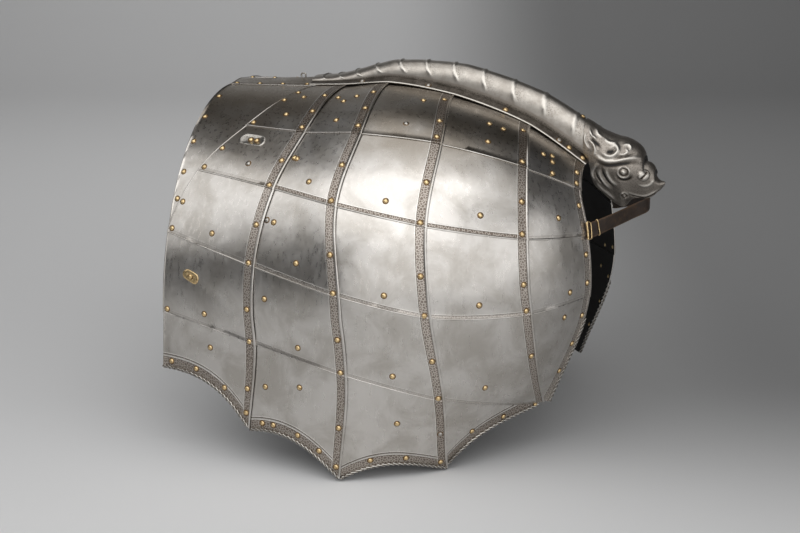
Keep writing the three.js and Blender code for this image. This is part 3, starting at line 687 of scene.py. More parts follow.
# The node kinds and settings that the finishes use most
MATH = "ShaderNodeMath"
MIX = "ShaderNodeMix"
RANGE = "ShaderNodeMapRange"
NOISE = "ShaderNodeTexNoise"
CELLS = "ShaderNodeTexVoronoi"
BUMP = "ShaderNodeBump"
ATTRIBUTE = "ShaderNodeAttribute"
SHADER = "ShaderNodeBsdfPrincipled"
SURFACE = "ShaderNodeOutputMaterial"
COLOURS = {"data_type": "RGBA"}
SOFT = {"interpolation_type": "SMOOTHSTEP"}
TIMES = {"operation": "MULTIPLY"}
TIMES_PLUS = {"operation": "MULTIPLY_ADD"}
PLUS = {"operation": "ADD"}
MINUS = {"operation": "SUBTRACT"}
LARGER = {"operation": "MAXIMUM"}


@dataclass(frozen=True)
class Border:
    """An etched border: its two distances from a lame's edge in millimetres, and its depth."""

    start: float
    end: float
    etch: float

    def values(self, name: str) -> dict[str, float]:
        """Returns the attributes that the steel reads for the border of this name."""
        return {f"{name}_start": self.start * MM, f"{name}_end": self.end * MM, f"{name}_etch": self.etch}


@dataclass(frozen=True)
class PolishedSteel:
    """Steel sheet polished by hand: a satin mirror with soft hammer waves, pits and brown patches on its
    upward faces.

    The borders are etched: acid has eaten a dull brown ground round a fine scroll that stays bright.
    """

    name: str = "planished_steel"
    clean: str = "#d0ccc7"
    grey: str = "#b7b2ab"
    brown: str = "#8f8578"
    # colour of the pits, and painted shade of the dark lines beside the borders
    pit_and_line_shade: str = "#5a5147"
    ground: str = "#877d75"
    old_ground: str = "#5b4e42"  # rust brown under the ridge
    scroll: str = "#c6beb5"
    # painted highlight: the bright line beyond each border is painted lighter than the clean steel
    line: str = "#f0ece6"
    rough: float = 0.29
    wave_size: float = 0.055  # hammer waves, in metres
    streak_size: float = 0.006  # polishing strokes
    pit_size: float = 0.0034
    scroll_size: float = 0.0049  # drawn coarser than the real 2 mm scroll, which would not show
    dark_gap: float = 0.0006
    bright_gap: float = 0.0018
    line_half: float = 0.00055

    def build(self) -> Material:
        """Returns the material."""
        material, add = new_material(self.name)
        place = add("ShaderNodeTexCoord").outputs["Object"]
        normal = add("ShaderNodeNewGeometry").outputs["Normal"]
        waves = add(NOISE, None, {"Vector": place, "Scale": 1 / self.wave_size, "Detail": 2.0})
        stretch = add("ShaderNodeMapping", None, {"Vector": place, "Scale": (1.0, 1.0, 0.2)})
        streaks = add(NOISE, None, {
            "Vector": stretch, "Scale": 1 / self.streak_size, "Detail": 4.0, "Roughness": 0.6})
        clouds = add(NOISE, None, {
            "Vector": place, "Scale": 14.0, "Detail": 5.0, "Roughness": 0.62, "Distortion": 0.6})
        patches = add(NOISE, None, {"Vector": place, "Scale": 5.0, "Detail": 3.0, "Roughness": 0.5})
        base = add(MIX, COLOURS, [add(RANGE, SOFT, [clouds, 0.35, 0.68]), self.clean, self.grey])
        up = add("ShaderNodeSeparateXYZ", None, [normal]).outputs["Z"]
        # browner in patches where the surface faces up
        up_facing_brown = add(MATH, TIMES, [add(RANGE, SOFT, [up, 0.5, 0.95]), add(RANGE, SOFT, [patches, 0.3, 0.62])])
        up_browned = add(MIX, COLOURS, [up_facing_brown, base, self.brown])
        pits = add(CELLS, None, {"Vector": place, "Scale": 1 / self.pit_size})
        pit_gate = add(NOISE, None, {"Vector": place, "Scale": 30.0, "Detail": 3.0})
        few = add(MATH, TIMES, [add(RANGE, SOFT, [pits, 0.2, 0.05]), add(RANGE, SOFT, [pit_gate, 0.6, 0.78])])
        pitted = add(MIX, COLOURS, [add(MATH, TIMES, [few, 0.6]), up_browned, self.pit_and_line_shade])
        etched, scroll, dark, bright = self.borders(add)
        aged = add(ATTRIBUTE, {"attribute_name": "aged"}).outputs["Fac"]
        ground = add(MIX, COLOURS, [aged, self.ground, self.old_ground])
        worn_scroll = add(MATH, TIMES_PLUS, [aged, add(MATH, TIMES, [scroll, -0.5]), scroll])
        drawn = add(MIX, COLOURS, [worn_scroll, ground, self.scroll])
        bordered = add(MIX, COLOURS, [etched, pitted, drawn])
        # painted shade: the thin dark lines beside each border, which the bump also sinks as engraved lines
        darkened = add(MIX, COLOURS, [dark, bordered, self.pit_and_line_shade])
        # painted highlight: the bright line, which the bump also raises
        lined = add(MIX, COLOURS, [bright, darkened, self.line])
        polish = add(RANGE, None, [streaks, 0.3, 0.7, self.rough - 0.04, self.rough + 0.06])
        wave_bump = add(BUMP, None, {"Strength": 1.0, "Distance": 0.0011, "Height": waves})
        streak_bump = add(BUMP, None, {
            "Strength": 0.4, "Distance": 0.00005, "Height": streaks, "Normal": wave_bump})
        relief = add(MATH, MINUS, [add(MATH, TIMES, [scroll, etched]), etched])
        scored = add(MATH, MINUS, [add(MATH, PLUS, [relief, bright]), dark])
        height = add(MATH, TIMES_PLUS, [few, -0.25, scored])
        bump = add(BUMP, None, {
            "Strength": 0.7, "Distance": 0.0002, "Height": height, "Normal": streak_bump})
        shader = add(SHADER, None, {
            "Base Color": lined, "Metallic": 1.0, "Normal": bump,
            "Roughness": add(MATH, TIMES_PLUS, [etched, 0.14, polish])})
        add(SURFACE, None, {"Surface": shader})
        return material

    def near(self, add: AddNode, value: Any, edge: Any, gap: float) -> Node:
        """Returns 1 on the thin line at a gap beyond a border's edge."""
        line = add(MATH, PLUS, [edge, gap])
        return add(MATH, {"operation": "COMPARE"}, [value, line, self.line_half])

    def border(self, add: AddNode, across: Any, along: Any, name: str) -> list[Node]:
        """Draws the border of one name.

        Args:
            add: adds a node to the material.
            across: the distance from the edge that it follows.
            along: the distance along that edge.
            name: the name that its attributes start with.

        Returns:
            Its etched ground, its scroll, its dark lines with painted shade and its bright line with painted
            highlight.
        """
        start, end, etch = (
            add(ATTRIBUTE, {"attribute_name": f"{name}_{part}"}).outputs["Fac"]
            for part in ("start", "end", "etch"))
        inside = add(MATH, TIMES, [
            add(MATH, {"operation": "GREATER_THAN"}, [across, start]),
            add(MATH, {"operation": "LESS_THAN"}, [across, end])])
        flat = add("ShaderNodeCombineXYZ", None, [across, along])
        cells = add(CELLS, {"feature": "DISTANCE_TO_EDGE", "voronoi_dimensions": "2D"}, {
            "Vector": flat, "Scale": 1 / self.scroll_size})
        strand = add(RANGE, SOFT, [cells, 0.2, 0.06])
        shown = add(MATH, {"operation": "MINIMUM"}, [add(MATH, TIMES, [etch, 1.2]), 0.85])
        after = self.near(add, across, end, self.dark_gap)
        dark = add(MATH, LARGER, [after, self.near(add, across, start, -self.dark_gap)])
        bright = self.near(add, across, end, self.bright_gap)
        parts = ((inside, etch), (inside, strand), (dark, shown), (bright, shown))
        return [add(MATH, TIMES, list(pair)) for pair in parts]

    def borders(self, add: AddNode) -> list[Node]:
        """Draws a lame's upright border, its low border and the lines above the hem's border.

        Args:
            add: adds a node to the material.

        Returns:
            The etched ground, the scroll, the dark lines and the bright lines of all three.
        """
        edges = add("ShaderNodeUVMap", {"uv_map": "edges"})
        split = add("ShaderNodeSeparateXYZ", None, [edges])
        rear, low = split.outputs["X"], split.outputs["Y"]
        upright = self.border(add, rear, low, "rear")
        rear_end = add(ATTRIBUTE, {"attribute_name": "rear_end"}).outputs["Fac"]
        clear = add(MATH, {"operation": "GREATER_THAN"}, [rear, rear_end])
        flat = [self.border(add, low, rear, name) for name in ("low", "inner")]
        parts = []
        for stood, first, second in zip(upright, *flat):
            lying = add(MATH, TIMES, [add(MATH, LARGER, [first, second]), clear])
            parts.append(add(MATH, LARGER, [stood, lying]))
        return parts


@dataclass(frozen=True)
class ChasedSteel:
    """Steel embossed from behind and chased, with painted highlight on the raised edges and painted shade in
    the hollows.
    """

    name: str = "chased_steel"
    # bright: painted highlight colour for the raised edges
    bright: str = "#c8c3bb"
    plain: str = "#968f87"
    # hollow: painted shade colour for the hollows, also the colour of the punched dots
    hollow: str = "#3a342d"
    rough: float = 0.33
    stipple: float = 0.0028  # punched dots, drawn coarser than the real 1 mm

    def build(self) -> Material:
        """Returns the material. The mesh's relief attribute, 0 in the hollows and 1 on the edges, sets the
        painted shade and the painted highlight.
        """
        material, add = new_material(self.name)
        place = add("ShaderNodeTexCoord").outputs["Object"]
        relief = add(ATTRIBUTE, {"attribute_name": "relief"}).outputs["Fac"]
        hatch = add(ATTRIBUTE, {"attribute_name": "hatch"}).outputs["Fac"]
        clouds = add(NOISE, None, {"Vector": place, "Scale": 60.0, "Detail": 4.0, "Roughness": 0.6})
        # painted shade and painted highlight from the relief attribute, mottled by noise
        relief_light_and_mottle = add(MATH, TIMES_PLUS, [clouds, 0.35, relief])
        dull = add(MIX, COLOURS, [add(RANGE, SOFT, [relief_light_and_mottle, 0.2, 0.62]), self.hollow, self.plain])
        base = add(MIX, COLOURS, [add(RANGE, SOFT, [relief_light_and_mottle, 0.65, 1.0]), dull, self.bright])
        punched = add(CELLS, None, {"Vector": place, "Scale": 1 / self.stipple})
        dots = add(MATH, TIMES, [add(RANGE, SOFT, [punched, 0.5, 0.25]), hatch])
        dark_marks_and_shade = add(MIX, COLOURS, [add(MATH, TIMES, [dots, 0.75]), base, self.hollow])
        dot_bump = add(BUMP, None, {
            "Strength": 0.5, "Distance": 0.0003, "Height": add(MATH, TIMES, [dots, -1.0])})
        cloud_bump = add(BUMP, None, {
            "Strength": 0.4, "Distance": 0.0005, "Height": clouds, "Normal": dot_bump})
        rough = add(RANGE, None, [relief_light_and_mottle, 0.2, 1.0, self.rough + 0.18, self.rough])
        shader = add(SHADER, None, {
            "Base Color": dark_marks_and_shade, "Metallic": 1.0, "Roughness": rough, "Normal": cloud_bump})
        add(SURFACE, None, {"Surface": shader})
        return material


@dataclass(frozen=True)
class WornMetal:
    """Cast or hammered metal rubbed by hands: bright where it is touched, darker in patches, with painted
    shade in its grooves.
    """

    name: str
    bright: str
    dark: str
    rough: float = 0.28
    grain: float = 0.004

    def build(self) -> Material:
        """Returns the material."""
        material, add = new_material(self.name)
        place = add("ShaderNodeTexCoord").outputs["Object"]
        noise = add(NOISE, None, {
            "Vector": place, "Scale": 1 / self.grain, "Detail": 3.0, "Roughness": 0.6})
        # painted shade: the groove attribute paints the rope's grooves dark
        groove = add(ATTRIBUTE, {"attribute_name": "groove"}).outputs["Fac"]
        dark_marks_and_shade = add(MATH, LARGER, [add(RANGE, SOFT, [noise, 0.5, 0.72]), groove])
        base = add(MIX, COLOURS, [dark_marks_and_shade, self.bright, self.dark])
        rough = add(RANGE, None, [noise, 0.3, 0.7, self.rough - 0.05, self.rough + 0.12])
        bump = add(BUMP, None, {"Strength": 0.4, "Distance": 0.0002, "Height": noise})
        shader = add(SHADER, None, {
            "Base Color": base, "Metallic": 1.0, "Roughness": rough, "Normal": bump})
        add(SURFACE, None, {"Surface": shader})
        return material


@dataclass(frozen=True)
class Blackening:
    """Oil burnt on the inside of the steel: black, matt and a little uneven."""

    name: str = "oil_blackening"
    black: str = "#0c0b0b"
    soot: str = "#1a1715"

    def build(self) -> Material:
        """Returns the material."""
        material, add = new_material(self.name)
        place = add("ShaderNodeTexCoord").outputs["Object"]
        noise = add(NOISE, None, {"Vector": place, "Scale": 25.0, "Detail": 4.0})
        base = add(MIX, COLOURS, [noise, self.black, self.soot])
        bump = add(BUMP, None, {"Strength": 0.4, "Distance": 0.0006, "Height": noise})
        shader = add(SHADER, None, {"Base Color": base, "Metallic": 0.0, "Roughness": 0.7, "Normal": bump})
        add(SURFACE, None, {"Surface": shader})
        return material


@dataclass(frozen=True)
class StrapLeather:
    """Cowhide, brown and waxed: fine creases, a rubbed face and paler cut edges."""

    name: str = "waxed_cowhide"
    face: str = "#281c13"
    rubbed: str = "#4a3725"
    crease: str = "#1f150d"
    grain: float = 0.0016  # pores, drawn coarser than the real half millimetre

    def build(self) -> Material:
        """Returns the material. The mesh's edge attribute is 1 along the cut edges."""
        material, add = new_material(self.name)
        place = add("ShaderNodeTexCoord").outputs["Object"]
        edge = add(ATTRIBUTE, {"attribute_name": "edge"}).outputs["Fac"]
        pores = add(CELLS, None, {"Vector": place, "Scale": 1 / self.grain})
        clouds = add(NOISE, None, {"Vector": place, "Scale": 70.0, "Detail": 5.0, "Roughness": 0.65})
        rubbed = add(MATH, TIMES_PLUS, [edge, 0.5, clouds])
        base = add(MIX, COLOURS, [add(RANGE, SOFT, [rubbed, 0.45, 0.85]), self.face, self.rubbed])
        creased = add(MIX, COLOURS, [add(RANGE, SOFT, [clouds, 0.42, 0.3]), base, self.crease])
        bump = add(BUMP, None, {"Strength": 0.5, "Distance": 0.0004, "Height": pores})
        deep = add(BUMP, None, {"Strength": 0.6, "Distance": 0.0008, "Height": clouds, "Normal": bump})
        shader = add(SHADER, None, {"Base Color": creased, "Roughness": 0.5, "Normal": deep})
        add(SURFACE, None, {"Surface": shader})
        return material


@dataclass
class Finishes:
    """All materials of the part, made once."""

    steel: Material = field(default_factory=lambda: PolishedSteel().build())
    chased: Material = field(default_factory=lambda: ChasedSteel().build())
    black: Material = field(default_factory=lambda: Blackening().build())
    brass: Material = field(default_factory=lambda: WornMetal("cast_brass", "#e3c898", "#94764a").build())
    iron: Material = field(default_factory=lambda: WornMetal("bright_iron", "#b3afa8", "#6d675f").build())
    # the rivets' ring: a brown stain, darkened as painted contact shade round each foot
    stain_and_shade_ring: Material = field(
        default_factory=lambda: WornMetal("rivet_grime", "#7c6242", "#4a3824", rough=0.55).build())
    rope: Material = field(
        default_factory=lambda: WornMetal("filed_rope", "#e9e5de", "#4d443a", rough=0.24).build())
    leather: Material = field(default_factory=lambda: StrapLeather().build())


# Lames


NO_BORDER = Border(0.0, 0.0, 0.0)
NO_EDGE = 400.0  # a distance, in millimetres, that no border reaches
LOW_BORDERS = {2: Border(3.8, 8.4, 1.0), 3: Border(3.8, 8.0, 0.6), 4: Border(3.8, 7.6, 0.3)}
AGE = {1: 1.0, 2: 0.45, 5: 0.4}  # how brown the etched ground of a row is


@dataclass
class LameShell:
    """The two sides of riveted lames, with a raised rib and an etched border along each seam."""

    finishes: Finishes
    rib_width: float = 5.0
    rib_height: float = 1.3
    lip_width: float = 3.0
    lip_height: float = 0.9
    border: float = 24.0
    seam_border: Border = Border(6.2, 20.2, 1.0)
    rear_border: Border = Border(4.6, 18.0, 0.75)
    hem_border: Border = Border(5.5, 21.5, 0.95)
    hem_lines: Border = Border(27.0, 27.0, 1.0)
    faint_border: Border = Border(3.8, 7.4, 0.2)
    hem_tuck: float = 3.4  # the hem's sheet ends inside its rope
    body_lines: int = 18
    last_share: float = 0.94

    def border_lines(self) -> Array:
        """Returns the distances from the rear edge at which grid lines lie."""
        rib = bead_lines(self.rib_width, 7)
        return np.concatenate([[self.border, 19.0, 14.0, 9.0, self.rib_width + 0.6], rib[::-1]])

    def lame(self, column: int, row: int, side: Side) -> Piece:
        """Builds one lame.

        Args:
            column: column number, 1 at the front.
            row: row number, 1 at the ridge.
            side: which side of the horse.

        Returns:
            The lame's object.
        """
        trim = self.last_share if (column, row) == (4, 5) else 1.0
        down = self.down_lines(column, row)
        across = self.across_lines(column, row, down, trim)
        grid_down = np.broadcast_to(down[:, None], across.shape)
        base = self.points(column, row, across, grid_down, np.zeros(across.shape))
        front = run_lengths(base, 1)
        rear = front[:, -1:] - front
        low = run_lengths(base, 0)
        low = low[-1:] - low
        hem = row == 5
        tuck = self.hem_tuck if hem else 0.0
        rib = self.rib_height * half_round(rear, self.rib_width)
        narrow = smooth(14, 30, rear[:, :1])
        lip = np.zeros(across.shape) if hem else self.bead(low)
        if column == 1:
            lip = np.maximum(lip, self.bead(front))
        outer = self.points(column, row, across, grid_down, np.maximum(rib * narrow, lip))
        inner = self.points(column, row, across, grid_down, np.full(across.shape, -SHELL.plate))
        sheet = Sheet(
            f"{side.name.lower()}_column{column}_lame{row}_plate",
            outer,
            inner,
            maps={"edges": np.stack([rear, low + tuck], axis=-1) * MM},
            values=self.borders(column, row),
            mirror=side is Side.RIGHT,
        )
        return sheet.build([self.finishes.steel, self.finishes.black])

    def bead(self, distance: Array) -> Array:
        """Returns the height of the half round bead at a distance from an edge."""
        return self.lip_height * half_round(distance, self.lip_width)

    def borders(self, column: int, row: int) -> dict[str, float]:
        """Returns the attributes of a lame's etched borders."""
        upright = self.rear_border if column == 5 else self.seam_border
        low = LOW_BORDERS.get(row, NO_BORDER)
        if column in (1, 5) and low is not NO_BORDER:
            low = self.faint_border
        inner = NO_BORDER
        if row == 5:
            low, inner = self.hem_border, self.hem_lines
        return {
            **upright.values("rear"), **low.values("low"), **inner.values("inner"), "aged": AGE.get(row, 0.0)}

    def points(self, column: int, row: int, across: Array, down: Array, lift: Array) -> Array:
        """Returns a grid of points of a lame."""
        flat = SHELL.lame_point(column, row, across.ravel(), down.ravel(), lift.ravel())
        return flat.reshape(*across.shape, 3)

    def down_lines(self, column: int, row: int) -> Array:
        """Returns the shares down the lame at which grid lines lie."""
        ends = np.array([0.0, 1.0])
        upper, lower = self.points(column, row, np.array([0.5, 0.5])[None], ends[None], np.zeros((1, 2)))[0]
        height = float(np.linalg.norm(lower - upper))
        lip = bead_lines(self.lip_width, 6)
        if row == 5:
            end = 1 - self.hem_tuck / height
            return np.concatenate([[-SHELL.lap, -SHELL.lap / 2], np.linspace(0, end, self.body_lines)])
        tail = 1 - lip[::-1] / height
        body = np.linspace(0, tail[0], self.body_lines - 2, endpoint=False)
        return np.concatenate([[-SHELL.lap, -SHELL.lap / 2], body, tail])

    def across_lines(self, column: int, row: int, down: Array, trim: float) -> Array:
        """Returns the shares across the lame at which grid lines lie, for each line down it."""
        probe = np.linspace(0, trim, 13)
        wide = np.broadcast_to(probe, (len(down), 13))
        grid_down = np.broadcast_to(down[:, None], wide.shape)
        line = self.points(column, row, wide, grid_down, np.zeros(wide.shape))
        width = run_lengths(line, 1)[:, -1:]
        squeeze = np.minimum(1, 0.45 * width / self.border)
        rear = trim * (1 - self.border_lines()[None] * squeeze / width)
        even = np.linspace(0, 1, self.body_lines, endpoint=False)[None]
        if column > 1:
            margin = np.broadcast_to([-SHELL.lap, -SHELL.lap / 2], (len(down), 2))
            return np.concatenate([margin, even * rear[:, :1], rear], axis=1)
        lip = bead_lines(self.lip_width, 6)[None] / width * trim
        body = lip[:, -1:] + (rear[:, :1] - lip[:, -1:]) * even
        return np.concatenate([lip[:, :-1], body, rear], axis=1)

    def build(self) -> None:
        """Builds every lame in place of its solid."""
        for side in Side:
            for index, count in enumerate(LAMES):
                for row in range(1, count + 1):
                    piece = self.lame(index + 1, row, side)
                    dress(piece, "steel", f"{side.name.lower()}_column{index + 1}_lame{row}")
        log.info("lames: %d on each side", sum(LAMES))


# Front plate, spine strip and staple


@dataclass
class FrontPlate:
    """The arched plate over the loins, with a rolled front edge."""

    finishes: Finishes
    roll: float = 3.4
    roll_height: float = 2.2
    rear_margin: float = 0.03
    row_lines: int = 56

    def build(self) -> None:
        """Builds the plate from its left point over the ridge to its right point."""
        t = np.linspace(SHELL.seam_rows, 0, self.row_lines)
        side_t = np.concatenate([t, [-SHELL.lap / 2, -SHELL.lap]])
        shares = np.concatenate([[0, 0.012, 0.025, 0.04], np.linspace(0.06, 1, 24)])
        left = self.half(side_t, shares)
        ridge = self.ridge_line(shares)
        outer = np.concatenate([left, ridge, left[::-1] * FLIP])
        front = run_lengths(outer, 1)
        bead = half_round(front, self.roll)
        grow = smooth(6, 20, front[:, -1:])
        normals = self.normals(outer)
        inner = outer - normals * SHELL.plate
        outer = outer + normals * (bead * self.roll_height * grow)[..., None]
        sheet = Sheet("loin_plate", outer, inner, maps={"edges": np.full((*front.shape, 2), NO_EDGE * MM)})
        dress(sheet.build([self.finishes.steel, self.finishes.black]), "steel", "front_plate")
        log.info("front plate: %d rows", len(outer))

    def half(self, side_t: Array, shares: Array) -> Array:
        """Returns the grid of the plate's left half."""
        t = np.repeat(side_t, len(shares))
        seam = SHELL.front_seam(t)
        end = seam + self.rear_margin * (1 - seam)
        s = end * np.tile(shares, len(side_t))
        points = SHELL.level(s, t, np.full(s.shape, -SHELL.column_step))
        return points.reshape(len(side_t), len(shares), 3)

    def ridge_line(self, shares: Array) -> Array:
        """Returns the plate's line along the ridge."""
        seam = float(SHELL.front_seam(np.zeros(1))[0])
        s = shares * (seam + self.rear_margin * (1 - seam))
        return SHELL.ridge(s, np.zeros(len(s)), np.full(len(s), -SHELL.column_step))[None]

    @staticmethod
    def normals(grid: Array) -> Array:
        """Returns the directions out of a grid that goes from left to right in rows."""
        down = np.gradient(grid, axis=0)
        along = np.gradient(grid, axis=1)
        out = unit(np.cross(along, down))
        centre = grid - np.array([grid[..., 0].mean(), 0, 0])
        return np.where((np.sum(out * centre, axis=-1) < 0)[..., None], -out, out)


@dataclass
class SpineStrip:
    """The riveted band along the front plate's ridge, and the staple on it."""

    finishes: Finishes
    bead: float = 2.4
    bead_height: float = 0.8
    border: Border = Border(4.0, 14.0, 0.35)
    end_gap: float = 1.7
    staple_back: float = 42.0
    staple_wire: float = 3.0
    staple_span: float = 12.0
    staple_rise: float = 9.0

    def station(self, run: float) -> float:
        """Returns the surface place s at a distance behind the strip's front edge."""
        s = np.linspace(0, 1, 81)
        here, _, _ = SHELL.ridge_frame(s)
        return float(np.interp(run, run_along(here), s))

    def length(self) -> float:
        """Returns how long the strip is."""
        s = np.linspace(0, SHELL.seam_start, 61)
        here, _, _ = SHELL.ridge_frame(s)
        return float(run_along(here)[-1]) - self.end_gap

    def build(self) -> None:
        """Builds the strip and its staple."""
        end = self.station(self.length())
        half = SHELL.ridge_half
        edge = bead_lines(self.bead, 6)
        sides = np.concatenate([-half + edge, np.linspace(-half + 6, half - 6, 21), half - edge[::-1]])
        stations = np.linspace(0, end, 40)
        s = np.repeat(stations, len(sides))
        y = np.tile(sides, len(stations))
        lift = self.bead_height * half_round(half - np.abs(y), self.bead)
        level = SHELL.layer_gap + SHELL.plate - SHELL.column_step
        shape = (len(stations), len(sides))
        outer = SHELL.ridge(s, y, level + lift).reshape(*shape, 3)
        inner = SHELL.ridge(s, y, np.full(len(s), level - SHELL.plate)).reshape(*shape, 3)
        edge_map = np.stack([half - np.abs(y), np.full(len(y), NO_EDGE)], axis=-1).reshape(*shape, 2)
        values = self.border.values("rear")
        sheet = Sheet("spine_band", outer, inner, maps={"edges": edge_map * MM}, values=values)
        dress(sheet.build([self.finishes.steel, self.finishes.black]), "steel", "spine_strip")
        self.staple(level)
        log.info("spine strip: %.0f mm long", self.length())

    def staple(self, level: float) -> None:
        """Builds the lace's staple as a bent wire with hammered feet."""
        at = np.array([self.station(self.length() - self.staple_back)])
        base = SHELL.ridge(at, np.zeros(1), np.array([level + SHELL.layer_gap]))[0]
        _, rear, out = (axis[0] for axis in SHELL.ridge_frame(at))
        reach = (self.staple_span - self.staple_wire) / 2
        rise = self.staple_rise - self.staple_wire / 2
        turns = [(-reach, 0.2), (-reach, rise * 0.6), (-reach * 0.75, rise * 0.95), (0, rise),
                 (reach * 0.75, rise * 0.95), (reach, rise * 0.6), (reach, 0.2)]
        path = np.array([base + rear * along + out * up for along, up in turns])
        fine = spline(path, 28)
        side = np.tile(np.cross(rear, out), (len(fine), 1))
        angle = np.linspace(0, 2 * math.pi, 12, endpoint=False)
        radius = self.staple_wire / 2
        section = np.stack([radius * np.cos(angle), radius * np.sin(angle)], axis=1)
        tube = tube_sheet("lace_staple", fine, side, section)
        dress(solid_from_rings("lace_staple", tube.outer, self.finishes.iron, 40), "steel", "spine_staple")


# Tail guard


@dataclass
class TailGuard:
    """The embossed tail guard: overlapping scales on a hollow back, between two etched flanges."""

    finishes: Finishes
    crest: float = 57.0
    foot_half: float = 27.0
    scales: int = 12
    growth: float = 1.35
    relief: float = 0.9
    ridge_lift: float = 1.6
    slant: float = 23.0
    overlap: float = 15.0
    square: float = 0.85
    bead: float = 4.0
    bead_height: float = 1.5
    per_scale: int = 18
    around: int = 34

    def __post_init__(self) -> None:
        """Measures the ridge from the guard's front end."""
        run_s = np.linspace(0, 1, 201)
        seam = SHELL.seam_start
        here, _, _ = SHELL.ridge_frame(run_s)
        length = run_along(here)
        start = float(np.interp(np.interp(seam, run_s, length) - self.overlap, length, run_s))
        self.table_s = np.linspace(start, LAST, 401)
        here, _, _ = SHELL.ridge_frame(self.table_s)
        self.table_run = run_along(here)
        self.length = float(self.table_run[-1])

    def station(self, run: Array) -> Array:
        """Returns the surface place s at each distance along the guard."""
        return np.interp(run, self.table_run, self.table_s)

    def section(self, s: Array, turn: Array) -> tuple[Array, Array]:
        """Gives the guard's plain section.

        Args:
            s: surface places.
            turn: from 0 at the flange's edge over 1 at the foot to 2 at the crest.

        Returns:
            The distance from the middle and the height over the ridge.
        """
        peak = SHELL.between_ribs("peak", s)
        foot = peak * (SHELL.ridge_half - self.foot_half)
        crest = SHELL.between_ribs("crest", s) * self.crest
        top = np.maximum(crest, peak * SHELL.ridge_half + 2 * self.relief)
        angle = np.clip(turn - 1, 0, 1) * math.pi / 2
        body_y = self.foot_half * np.maximum(np.cos(angle), 0) ** self.square
        body_h = foot + (top - foot) * np.sin(angle) ** self.square
        flange = np.clip(turn, 0, 1)
        flange_y = SHELL.ridge_half + (self.foot_half - SHELL.ridge_half) * flange
        on_body = turn > 1
        return np.where(on_body, body_y, flange_y), np.where(on_body, body_h, foot * flange)

    def scale_phase(self, run: Array, turn: Array) -> Array:
        """Returns how far each point is through its scale, with the scales swept back towards the foot."""
        sweep = (1 - np.sin(np.clip(turn - 1, 0, 1) * math.pi / 2)) ** 1.3
        fade = np.clip(np.minimum(run, self.length - run) / self.slant / 2, 0, 1)
        swept = np.clip(run - fade * self.slant * sweep, 0, self.length)
        return np.clip(swept / self.length, 0, 1) ** (1 / self.growth) * self.scales

    def half(self, outside: bool) -> tuple[Array, Array, Array]:
        """Returns the left half's grid from flange to crest, with its shine, painted highlight on the scale
        edges and the rolled bead, and its punched marks.
        """
        run = self.length * np.linspace(0, 1, self.scales * self.per_scale + 1) ** self.growth
        bead = bead_lines(self.bead / (SHELL.ridge_half - self.foot_half), 6)
        turns = np.concatenate([bead, np.linspace(0.35, 0.95, 6), 1 + np.linspace(0, 1, self.around) ** 1.15])
        grid_run = np.repeat(run, len(turns))
        turn = np.tile(turns, len(run))
        s = self.station(grid_run)
        y, height = self.section(s, turn)
        more_y, more_height = self.section(s, np.minimum(turn + 0.02, 2.0))
        less_y, less_height = self.section(s, np.maximum(turn - 0.02, 0.0))
        step = unit(np.stack([less_y - more_y, more_height - less_height], axis=-1))
        out_y, out_h = step[:, 1], step[:, 0]
        phase = self.scale_phase(grid_run, turn)
        through = phase - np.floor(phase)
        body = smooth(1.0, 1.12, turn)
        lift = np.power(through, 2.0) * (1 - smooth(0.95, 0.995, through))
        edge = np.exp(-((through - 0.93) / 0.04) ** 2)
        drawn = smooth(1.1, 1.35, turn)
        from_edge = turn * (SHELL.ridge_half - self.foot_half)
        roll = self.bead_height * half_round(from_edge, self.bead) * (turn < 0.5)
        relief = drawn * (self.relief * lift + self.ridge_lift * edge) + roll
        level = SHELL.layer_gap + (relief if outside else -SHELL.plate)
        here, _, out = SHELL.ridge_frame(s)
        points = here + out * (height + out_h * level)[:, None]
        points[:, 1] = -(y + out_y * level)
        shape = (len(run), len(turns))
        punched = drawn * np.exp(-through / 0.3) * smooth(2.0, 1.6, turn)
        # painted highlight on each scale's raised edge and on the rolled bead; the flange is darker as etched
        # steel
        shine = body * (0.62 + 0.5 * edge * drawn) + (1 - body) * (0.2 + 0.8 * (roll > 0.3))
        marks = np.where(body > 0.5, 0.8 * punched, 0.7 * (roll < 0.3))
        return points.reshape(*shape, 3), shine.reshape(shape), marks.reshape(shape)

    def build(self) -> None:
        """Builds the guard in place of its solid."""
        grids = []
        for outside in (True, False):
            left, shine, marks = self.half(outside)
            grids.append(np.concatenate([left, left[:, :-1][:, ::-1] * FLIP], axis=1))
        both_shine, both_marks = (np.concatenate([v, v[:, :-1][:, ::-1]], axis=1) for v in (shine, marks))
        values = {"relief": both_shine, "hatch": both_marks}
        sheet = Sheet("scaled_tail_guard", *grids, values=values, sharp=60)
        dress(sheet.build([self.finishes.chased, self.finishes.black]), "embossed_steel", "tail_guard")
        log.info("tail guard: %d scales, %.0f mm long", self.scales, self.length)


# Sea monster's head


@dataclass(frozen=True)
class HeadRow:
    """One section of the head: millimetres along from the head's start and up from the ridge's end."""

    name: str
    top: tuple[float, float]
    waist: tuple[float, float]
    low: tuple[float, float]
    half: float
    under: float


